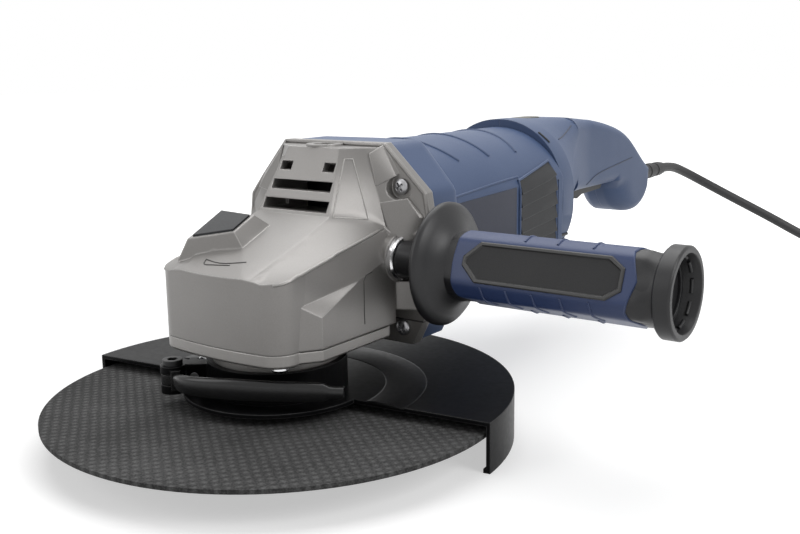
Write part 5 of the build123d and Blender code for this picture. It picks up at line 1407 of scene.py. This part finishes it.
@dataclass
class MotorBody:
    """The blue motor housing with its label place, ribs and louvred pads."""

    radius: float = 52.0
    half: float = 47.0
    axis_z: float = 85.0
    crescents: tuple[Flat, ...] = ((105.0, 116.0), (143.5, 148.0), (184.0, 179.0))
    crescent_deg: float = 40.0
    crescent_parts: int = 40
    flat_edge: tuple[Point, ...] = (
        (46.8, 87.5, 108.0), (45.9, 112.2, 109.5), (44.9, 140.9, 111.2), (44.3, 162.0, 112.0),
    )
    flange: tuple[Flat, ...] = (
        (-50.0, 38.0), (50.0, 38.0), (61.0, 60.0), (61.0, 98.0), (58.0, 116.0), (33.0, 139.5), (-33.0, 139.5),
        (-51.0, 119.5), (-59.5, 109.0), (-61.0, 98.0), (-61.0, 60.0),
    )
    shroud_y: Flat = (54.1, 86.0)
    shroud_sides: int = 120
    shroud_rows: int = 15
    shroud_inset: float = 0.5
    shroud_lap: float = 0.3
    shroud_tongue: float = 14.0
    shroud_hold: float = 0.58
    shroud_wall: Flat = (4.0, 2.4)
    label_y: Flat = (91.0, 157.0)
    label_z: Flat = (64.5, 104.5)
    label_cut: float = 3.0
    label_rise: float = 2.0
    label_lifts: Flat = (0.25, -0.4)
    pad_y: Flat = (161.5, 206.0)
    pad_low: Flat = (63.0, 65.5)
    pad_high: Flat = (109.5, 117.0)
    pad_parts: int = 8
    pad_sunk: float = -3.0
    slats: int = 6
    slat_turn: tuple[Flat, ...] = ((0.0, 1.5), (0.08, 1.65), (0.5, 0.9), (0.93, 0.45), (1.0, 0.4))

    def build(self) -> None:
        """Builds the housing's pieces and dresses them."""
        dress("motor_housing", BLUE, "body")
        self.shroud()
        self.pads()
        self.label()
        self.lines()

    def shroud(self) -> None:
        """Builds the flared front that runs from the flange's outline back to the round of the housing."""
        outline = [Vector((x, z - self.axis_z)) for x, z in self.flange]
        edges = list(zip(outline, [*outline[1:], outline[0]]))
        front, spokes = self.shroud_y[0], []
        for angle in turns(self.shroud_sides):
            way = Vector((math.cos(angle), math.sin(angle)))
            reaches = [self.reach(way, *edge) for edge in edges]
            far = min(reach for reach in reaches if reach > 0.0) - self.shroud_inset
            near = min(self.radius, self.half / max(abs(way.x), TINY)) + self.shroud_lap
            back = self.shroud_y[1] + self.shroud_tongue * max(way.y, 0.0) ** 2
            profile = []
            for row in range(self.shroud_rows + 1):
                share = row / self.shroud_rows
                ease = max(share - self.shroud_hold, 0.0) / (1.0 - self.shroud_hold)
                flare = between(far, near, ease * ease * (3.0 - 2.0 * ease))
                profile.append((between(front, back, share), flare))
            profile += [(back, near - self.shroud_wall[1]), (front, far - self.shroud_wall[0])]
            spokes.append([Vector((way.x * r, y, self.axis_z + way.y * r)) * MM for y, r in profile])
        settle(loft("front_shroud", list(zip(*spokes))), BLUE, "body")

    @staticmethod
    def reach(way: Vector, start: Vector, end: Vector) -> float:
        """Gives how far out from the motor's axis a way crosses an edge.

        Args:
            way: the way out.
            start: the edge's first end.
            end: its second end.

        Returns:
            The distance, or -1 where they don't cross.
        """
        along = end - start
        spread = way.x * along.y - way.y * along.x
        if abs(spread) < 1e-9:
            return -1.0
        share = (start.x * way.y - start.y * way.x) / spread
        if share < -TINY or share > 1.0 + TINY:
            return -1.0
        return (start + along * share).dot(way)

    def pad_place(self, y_share: float, z_share: float, lift: float) -> Vector:
        """Gives a place on the right-hand pad.

        Args:
            y_share: how far back, from 0 to 1.
            z_share: how far up, from 0 to 1.
            lift: how far it stands off the housing.

        Returns:
            The place, in millimetres.
        """
        z = between(between(*self.pad_low, y_share), between(*self.pad_high, y_share), z_share)
        x = min(self.half, math.sqrt(max(self.radius**2 - (z - self.axis_z) ** 2, 0.0)))
        slope = 0.0 if x >= self.half else math.atan2(z - self.axis_z, x)
        return Vector((x + lift * math.cos(slope), between(*self.pad_y, y_share), z + lift * math.sin(slope)))

    def pads(self) -> None:
        """Builds the two louvred pads, each a stack of slats that overlap downwards."""
        shape = bmesh.new()
        sunk, across = self.pad_sunk, self.pad_parts + 1
        rows = [((slat + share) / self.slats, lift) for slat in range(self.slats) for share, lift in self.slat_turn]
        shares = [0.0, *(part / self.pad_parts for part in range(across)), 1.0]
        for side in (-1.0, 1.0):
            grid = []
            for z_share, lift in ((0.0, sunk), *rows, (1.0, sunk)):
                lifts = [sunk, *([lift] * across), sunk]
                places = [self.pad_place(y_share, z_share, high) for y_share, high in zip(shares, lifts)]
                grid.append([shape.verts.new(Vector((side * x, y, z)) * MM) for x, y, z in places])
            for low, high in zip(grid, grid[1:]):
                for step in range(len(low) - 1):
                    shape.faces.new((low[step], low[step + 1], high[step + 1], high[step]))
            right, left = [row[-1] for row in grid[1:]], [row[0] for row in grid[-2:0:-1]]
            shape.faces.new([*grid[0], *right, *grid[-1][-2::-1], *left])
        bmesh.ops.remove_doubles(shape, verts=shape.verts, dist=TINY)
        bmesh.ops.recalc_face_normals(shape, faces=shape.faces)
        settle(piece_from("louvred_pads", shape, 25.0), PAD, "body", "vent_grilles")

    def label(self) -> None:
        """Sets a thin bare plate into the flat of each side."""
        (near, far), (low, high), cut_off = self.label_y, self.label_z, self.label_cut
        outline = [(near, low), (far - cut_off, low), (far, low + cut_off), (far, high + self.label_rise)]
        outline += [(near + cut_off, high), (near, high - cut_off)]
        plates = []
        for side in (-1.0, 1.0):
            outs = [side * (self.half + lift) for lift in self.label_lifts]
            plates.append([[Vector((out, y, z)) * MM for y, z in outline] for out in outs])
        settle(loft("label_plates", *plates, ends=Ends.CAPPED), LABEL, "body")

    def lines(self) -> None:
        """Lays the crescent grooves in a darker blue that paints their shade, the edges of the side flats and the
        pads' frames.
        """
        housing = Surface(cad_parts["motor_housing"])
        grooves = []
        for top_y, end_y in self.crescents:
            arc = []
            for part in range(self.crescent_parts + 1):
                share = 2.0 * part / self.crescent_parts - 1.0
                angle = math.radians(90.0 - self.crescent_deg * share)
                across, up = self.radius * math.cos(angle), self.radius * math.sin(angle)
                arc.append(Vector((across, between(top_y, end_y, share**2), self.axis_z + up)) * MM)
            grooves.append(housing.lay(arc, -0.55))
        # The crescent grooves get a slightly darker blue: painted shade.
        bead("crescent_grooves", grooves, 1.3, BLUE_GROOVE_SHADE, "body", taper=1.0)
        edge = housing.lay(smooth_path(self.flat_edge), 0.1)
        bead("flat_edges", [edge, flipped(edge)], 0.7, BLUE, "body")
        shares = [part / self.pad_parts for part in range(self.pad_parts + 1)]
        front = [self.pad_place(0.0, share, 0.4) for share in shares]
        front += [self.pad_place(share, 1.0, 0.6) for share in shares[1:]]
        front = [(place + Vector((0.0, -0.9, 0.5))) * MM for place in front]
        rear = [(self.pad_place(1.0, share, 0.3) + Vector((0.0, 0.5, 0.0))) * MM for share in shares]
        bead("pad_frames", [front, rear, flipped(front), flipped(rear)], 0.9, BLUE, "body")


@dataclass
class RearGrip:
    """The swivelling rear grip with its trigger, swivel catch and strain relief."""

    collar_rear: float = 231.0
    collar_half: float = 47.0
    grip_start: float = 285.0
    grip_half: float = 19.0
    grip_top: float = 140.0
    grip_fall: float = 0.1026
    grip_rounds: Flat = (12.0, 7.0)
    sweep_end: float = 318.0
    sweep_power: float = 1.9
    slice_mm: int = 4
    first_slice: float = 3.0
    seam_half: float = 3.0
    seam_fade: float = 11.0
    hook_box: Flat = (340.0, 106.0)
    hook_slices: tuple[tuple[int, int], ...] = ((358, 400), (64, 104))
    hook_front: float = 358.5
    hook_top: float = 88.0
    hook_round: float = 32.0
    hook_fade: float = 7.0
    hook_least: float = 0.12
    chin_z: float = 82.0
    chin_power: float = 1.6
    chin_draw: float = 0.14
    neck_crease: tuple[Point, ...] = (
        (16.2, 286.6, 138.4), (18.3, 281.0, 134.4), (28.3, 253.6, 130.7), (32.8, 238.0, 129.2),
    )
    side_crease: tuple[Point, ...] = (
        (18.6, 308.3, 90.6), (19.0, 325.3, 96.6), (19.0, 356.2, 100.5), (19.0, 387.3, 103.9),
    )
    collar_slit: tuple[Point, ...] = ((26.8, 219.0, 133.3), (30.6, 219.5, 130.4), (34.3, 220.5, 127.5))
    low_vents: tuple[Point, ...] = ((43.0, 221.0, 68.0), (41.0, 221.0, 64.0), (38.5, 221.0, 60.0), (35.5, 221.0, 56.5))

    def build(self) -> None:
        """Dresses the grip and lays painted shade along its creases, slit and vents."""
        grip = Surface(self.half("handle_left"), self.half("handle_right"))
        dress("strain_relief", RUBBER, "rear_handle")
        dress("trigger", BLACK, "trigger_lever")
        dress("swivel_button", OLIVE, "swivel_lock")
        screw = ScrewHead(3.1, 1.4, 0.5)
        screw.set_in("handle_screw_heads", "handle_screws", 0, 1.2, (0.0, 0.7, 0.7), STEEL, "rear_handle")
        creases = [smooth_path(self.neck_crease), smooth_path(self.side_crease)]
        vents = [[Vector((x, y + step, z)) * MM for step in range(0, 12, 2)] for x, y, z in self.low_vents]
        for name, paths, radius, finish, taper in (
            # Painted shade along the grip's creases.
            ("grip_creases", creases, 0.45, BLUE_CREASE_SHADE, 0.7),
            # Black beads standing for the shade inside the collar's slit and low vents.
            ("collar_slits", [smooth_path(self.collar_slit)], 0.9, BLACK, 0.6),
            ("collar_vents", vents, 1.1, BLACK, 0.4),
        ):
            laid = [grip.lay(path) for path in paths]
            bead(name, [*laid, *map(flipped, laid)], radius, finish, "rear_handle", taper)

    def half(self, node: str) -> Piece:
        """Copies a half of the grip with its taper swept into a soft hollow curve.

        Args:
            node: the half's frame node.

        Returns:
            The copy.
        """
        shape = node_shape(node)
        level = self.collar_rear + self.first_slice
        while level < self.sweep_end:
            cut(shape, (0.0, level * MM, 0.0), (0.0, 1.0, 0.0))
            level += self.slice_mm
        for vert in shape.verts:
            y = vert.co.y / MM
            if self.collar_rear < y < self.sweep_end:
                weight = held((abs(vert.co.x / MM) - self.seam_half) / self.seam_fade)
                vert.co.x *= between(1.0, self.swept(y) / self.straight(y), weight)
        self.ease_corners(shape)
        self.round_hook(shape)
        return settle(piece_from(node + "_skin", shape), BLUE, "rear_handle", node)

    def ease_corners(self, shape: Shape) -> None:
        """Rounds the grip's upper corners off where the taper runs into them.

        Args:
            shape: the half's shape.
        """
        for vert in shape.verts:
            x, y, z = abs(vert.co.x / MM), vert.co.y / MM, vert.co.z / MM
            if not self.grip_start - 0.6 < y < self.sweep_end:
                continue
            run = y - self.grip_start
            radius = between(*self.grip_rounds, run / (self.sweep_end - self.grip_start))
            centre = Vector((self.swept(y) - radius, self.grip_top - self.grip_fall * run - radius))
            out = Vector((x, z)) - centre
            if min(out) > 0.0 and out.length > radius:
                place = centre + out.normalized() * radius
                vert.co.x = math.copysign(place.x * MM, vert.co.x)
                vert.co.z = place.y * MM

    def round_hook(self, shape: Shape) -> None:
        """Draws the hook under the grip in towards its front, so that it is round to hold.

        Args:
            shape: the half's shape.
        """
        back, under = self.hook_box[0] * MM, self.hook_box[1] * MM
        for axis, (first, last) in zip((1, 2), self.hook_slices):
            way = Vector()
            way[axis] = 1.0
            for level in range(first, last, self.slice_mm):
                near = [face for face in shape.faces if any(v.co.y > back and v.co.z < under for v in face.verts)]
                cut(shape, way * (level * MM), way, near)
        for vert in shape.verts:
            y, z = vert.co.y / MM, vert.co.z / MM
            if y < self.hook_front or z > self.hook_top:
                continue
            front = self.hook_front + max(self.chin_z - z, 0.0) ** self.chin_power * self.chin_draw
            depth = held((y - front) / self.hook_round)
            slim = between(self.hook_least, 1.0, math.sqrt(1.0 - (1.0 - depth) ** 2))
            vert.co.x *= between(1.0, slim, min((self.hook_top - z) / self.hook_fade, 1.0))

    def straight(self, y: float) -> float:
        """Gives the half width of the straight taper at a distance back."""
        share = min((y - self.collar_rear) / (self.grip_start - self.collar_rear), 1.0)
        return between(self.collar_half, self.grip_half, share)

    def swept(self, y: float) -> float:
        """Gives the half width of the swept taper at a distance back."""
        share = 1.0 - (y - self.collar_rear) / (self.sweep_end - self.collar_rear)
        return between(self.grip_half, self.collar_half, share**self.sweep_power)


@dataclass
class SideHandle:
    """The screwed-in side handle with its shell, panels and hollow end."""

    axis_y: float = 42.0
    axis_z: float = 83.5
    tilt: float = math.radians(22.0)
    half: float = 16.0
    corner: float = 5.5
    corner_power: float = 28.0
    sides: int = 96
    start: tuple[float, ...] = (86.8, 88.5, 94.0, 90.0, 88.0, 90.0, 94.0, 88.5)
    end: tuple[float, ...] = (177.5, 173.5, 178.5, 174.5, 176.5, 174.0, 178.5, 173.5)
    shell_lip: float = 0.5
    shell_wall: float = 1.6
    panel_x: Flat = (93.0, 171.5)
    panel_half: float = 9.6
    panel_cut: Flat = (8.0, 7.4)
    panel_end: Flat = (6.6, 4.6)
    panel_draw: float = 0.4
    plate_inset: float = 1.9
    plate_lifts: Flat = (0.12, -1.0)
    border_turn: tuple[Flat, ...] = ((0.0, -1.2), (0.0, 0.35), (0.45, 0.8), (1.5, 0.8), (2.2, -0.1), (2.2, -1.2))
    bell_turn: tuple[Flat, ...] = (
        (49.2, 7.3), (49.2, 9.0), (64.6, 9.0), (66.6, 10.4), (68.2, 14.4), (69.8, 20.4), (71.0, 25.4), (72.0, 28.4),
        (73.3, 29.9), (75.0, 29.9), (76.6, 28.2), (78.2, 25.0), (80.2, 21.4), (82.8, 18.2), (86.0, 16.0),
        (89.0, 15.2), (89.2, 12.0), (176.0, 12.0), (176.0, 7.3),
    )
    liner_front: tuple[Flat, ...] = ((80.5, 12.0), (80.5, 15.0), (83.0, 17.4))
    liner_sunk: tuple[Flat, ...] = ((90.0, -0.7), (177.0, -0.7), (179.5, -0.9))
    liner_rear: tuple[Flat, ...] = ((184.0, 15.8), (186.0, 15.8), (186.0, 12.8))
    rib_x: tuple[float, ...] = (104.0, 117.2, 130.4, 144.0, 157.5)
    bump_x: tuple[float, ...] = (122.0, 138.0, 155.0)
    bar_x: float = 189.5
    bar_r: float = 15.6
    bars: int = 10
    bar_spread: float = 0.2

    def build(self) -> None:
        """Builds the shell and its panels, and dresses the rest."""
        dress("side_handle_stud", STEEL, "body")
        dress("side_handle_ring", BRIGHT, "body")
        dress("side_handle_cup", HANDLE_BLACK, "body")
        bell = [[self.turned(x, radius, angle) for angle in turns(self.sides)] for x, radius in self.bell_turn]
        settle(loft("hand_stop", bell, angle=50.0), HANDLE_BLACK, "body", "side_handle_core")
        self.shell()
        self.liner()
        self.panels()
        self.ribs()

    def turned(self, x: float, radius: float, angle: float) -> Vector:
        """Gives a place round the handle's axis, in metres."""
        return Vector((x, self.axis_y + radius * math.cos(angle), self.axis_z + radius * math.sin(angle))) * MM

    def reach(self, angle: float) -> float:
        """Gives the shell's radius, its corners softened.

        Args:
            angle: the angle round from the front panel.

        Returns:
            The radius, in millimetres.
        """
        slant = (2.0 * self.half - self.corner) / math.sqrt(2.0)
        total = 0.0
        for step, middle in enumerate(turns(8)):
            flat = slant if step % 2 else self.half
            total += (max(math.cos(angle - middle), 0.0) / flat) ** self.corner_power
        return total ** (-1.0 / self.corner_power)

    def place(self, x: float, angle: float, lift: float) -> Vector:
        """Gives a place on the handle.

        Args:
            x: the distance along the handle.
            angle: the angle from the front panel's middle, downwards.
            lift: how far it stands off the shell.

        Returns:
            The place, in metres.
        """
        return self.turned(x, -self.reach(angle) - lift, angle - self.tilt)

    def shell(self) -> None:
        """Builds the blue shell, whose ends run in and out round the handle."""
        rings = []
        lip, wall = self.shell_lip, self.shell_wall
        for step, angle in enumerate(turns(self.sides)):
            eighth, part = divmod(8.0 * step / self.sides, 1.0)
            first = int(eighth)
            low, high = (between(ends[first], ends[(first + 1) % 8], part) for ends in (self.start, self.end))
            profile = [(low, -wall), (low, -lip), (low + lip, 0.0), (high - lip, 0.0), (high, -lip), (high, -wall)]
            rings.append([self.place(x, angle, lift) for x, lift in profile])
        settle(loft("side_shell", rings, angle=40.0), BLUE_RICH, "body", "side_handle_sleeve")

    def liner(self) -> None:
        """Builds the black liner, eight-sided under the shell and round where the hollow end starts."""
        spokes = []
        for angle in turns(self.sides):
            front, rear = (
                [(x, radius - self.reach(angle)) for x, radius in turn] for turn in (self.liner_front, self.liner_rear)
            )
            spokes.append([self.place(x, angle, lift) for x, lift in (*front, *self.liner_sunk, *rear)])
        settle(loft("side_liner", list(zip(*spokes)), angle=40.0), HANDLE_BLACK, "body")

    def outline(self, inset: float) -> list[Flat]:
        """Gives the panel's long eight-sided outline, drawn in by an inset.

        Args:
            inset: how far it is drawn in.

        Returns:
            Its corners, along the handle and up from the panel's middle.
        """
        low, high = self.panel_x[0] + inset, self.panel_x[1] - inset
        top = self.panel_half - inset
        short, drop, near, fall = (size - self.panel_draw * inset for size in (*self.panel_cut, *self.panel_end))
        right = [(high - near, -top), (high, -top + fall), (high, top - fall), (high - near, top)]
        return [*right, (low + short, top), (low, top - drop), (low, -top + drop), (low + short, -top)]

    def panel_ring(self, inset: float, lift: float, side: float) -> list[Vector]:
        """Lays the panel's outline over one of the handle's flats.

        Args:
            inset: how far the outline is drawn in.
            lift: how far it stands off the flat.
            side: 1 for the front panel and -1 for the back one.

        Returns:
            The outline's places, in metres.
        """
        out, cos, sin = side * (self.half + lift), math.cos(self.tilt), math.sin(self.tilt)
        ring = []
        for x, up in self.outline(inset):
            rise = side * up
            ring.append(Vector((x, self.axis_y - out * cos + rise * sin, self.axis_z + out * sin + rise * cos)) * MM)
        return ring

    def panels(self) -> None:
        """Builds the two bare panels, each sunk inside a raised border."""
        sides = (-1.0, 1.0)
        borders = [[self.panel_ring(*turn, side) for turn in self.border_turn] for side in sides]
        plates = [[self.panel_ring(self.plate_inset, lift, side) for lift in self.plate_lifts] for side in sides]
        settle(loft("panel_borders", *borders, angle=20.0), PANEL_EDGE, "body")
        settle(loft("panel_plates", *plates, ends=Ends.CAPPED), PANEL, "body", "side_handle_panels")

    def ribs(self) -> None:
        """Lays the finger ribs across the slants of the shell, and the ring of short bars in its end."""
        paths = []
        for turn in (0.0, math.pi):
            for x in self.rib_x:
                places = [(x + step / 4.0, turn + math.radians(36.0 + 7.0 * step)) for step in range(9)]
                paths.append([self.place(*place, 0.05) for place in places])
            for x in self.bump_x:
                places = [(x + step / 6.0, turn - math.radians(40.0 + 7.0 * step)) for step in range(7)]
                paths.append([self.place(*place, 0.05) for place in places])
        bead("finger_ribs", paths, 0.55, BLUE_RICH, "body", taper=0.5)
        bars = []
        for middle in turns(self.bars):
            arc = [middle + self.bar_spread * (part / 4.0 - 1.0) for part in range(9)]
            bars.append([self.turned(self.bar_x, self.bar_r, angle) for angle in arc])
        bead("cup_bars", bars, 0.9, HANDLE_BLACK, "body")


@dataclass
class Internals:
    """The gears, bearings, motor and switch inside, which keep their frame shapes."""

    steel: str = (
        "spindle armature_shaft lower_bearing_outer front_bearing_outer rear_bearing_outer lower_bearing_inner "
        "front_bearing_inner rear_bearing_inner crown_gear pinion lock_pin trigger_pin lock_spring trigger_spring "
        "swivel_spring"
    )
    bronze: str = "upper_bush brush_holders"
    copper: str = "field_coils armature_windings commutator"
    laminate: str = "stator_core armature_core"
    carbon: str = "carbon_brushes"
    black: str = "air_baffle cooling_fan switch_module"

    def build(self) -> None:
        """Gives each inner node its finish."""
        finishes = {
            STEEL: self.steel, BRONZE: self.bronze, COPPER: self.copper, LAMINATE: self.laminate,
            CARBON: self.carbon, BLACK: self.black,
        }
        for finish, names in finishes.items():
            for name in names.split():
                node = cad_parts[name]
                node.data.materials.clear()
                node.data.materials.append(finish.material())


def main() -> None:
    """Builds the studio and each sub-assembly in order."""
    logging.basicConfig(level=logging.INFO, format="%(message)s")
    for kind in (Studio, MainsLead, GearHead, GuardSet, MotorBody, RearGrip, SideHandle, Internals):
        kind().build()
        LOG.info("%s built", kind.__name__)


if __name__ == "__main__":
    main()
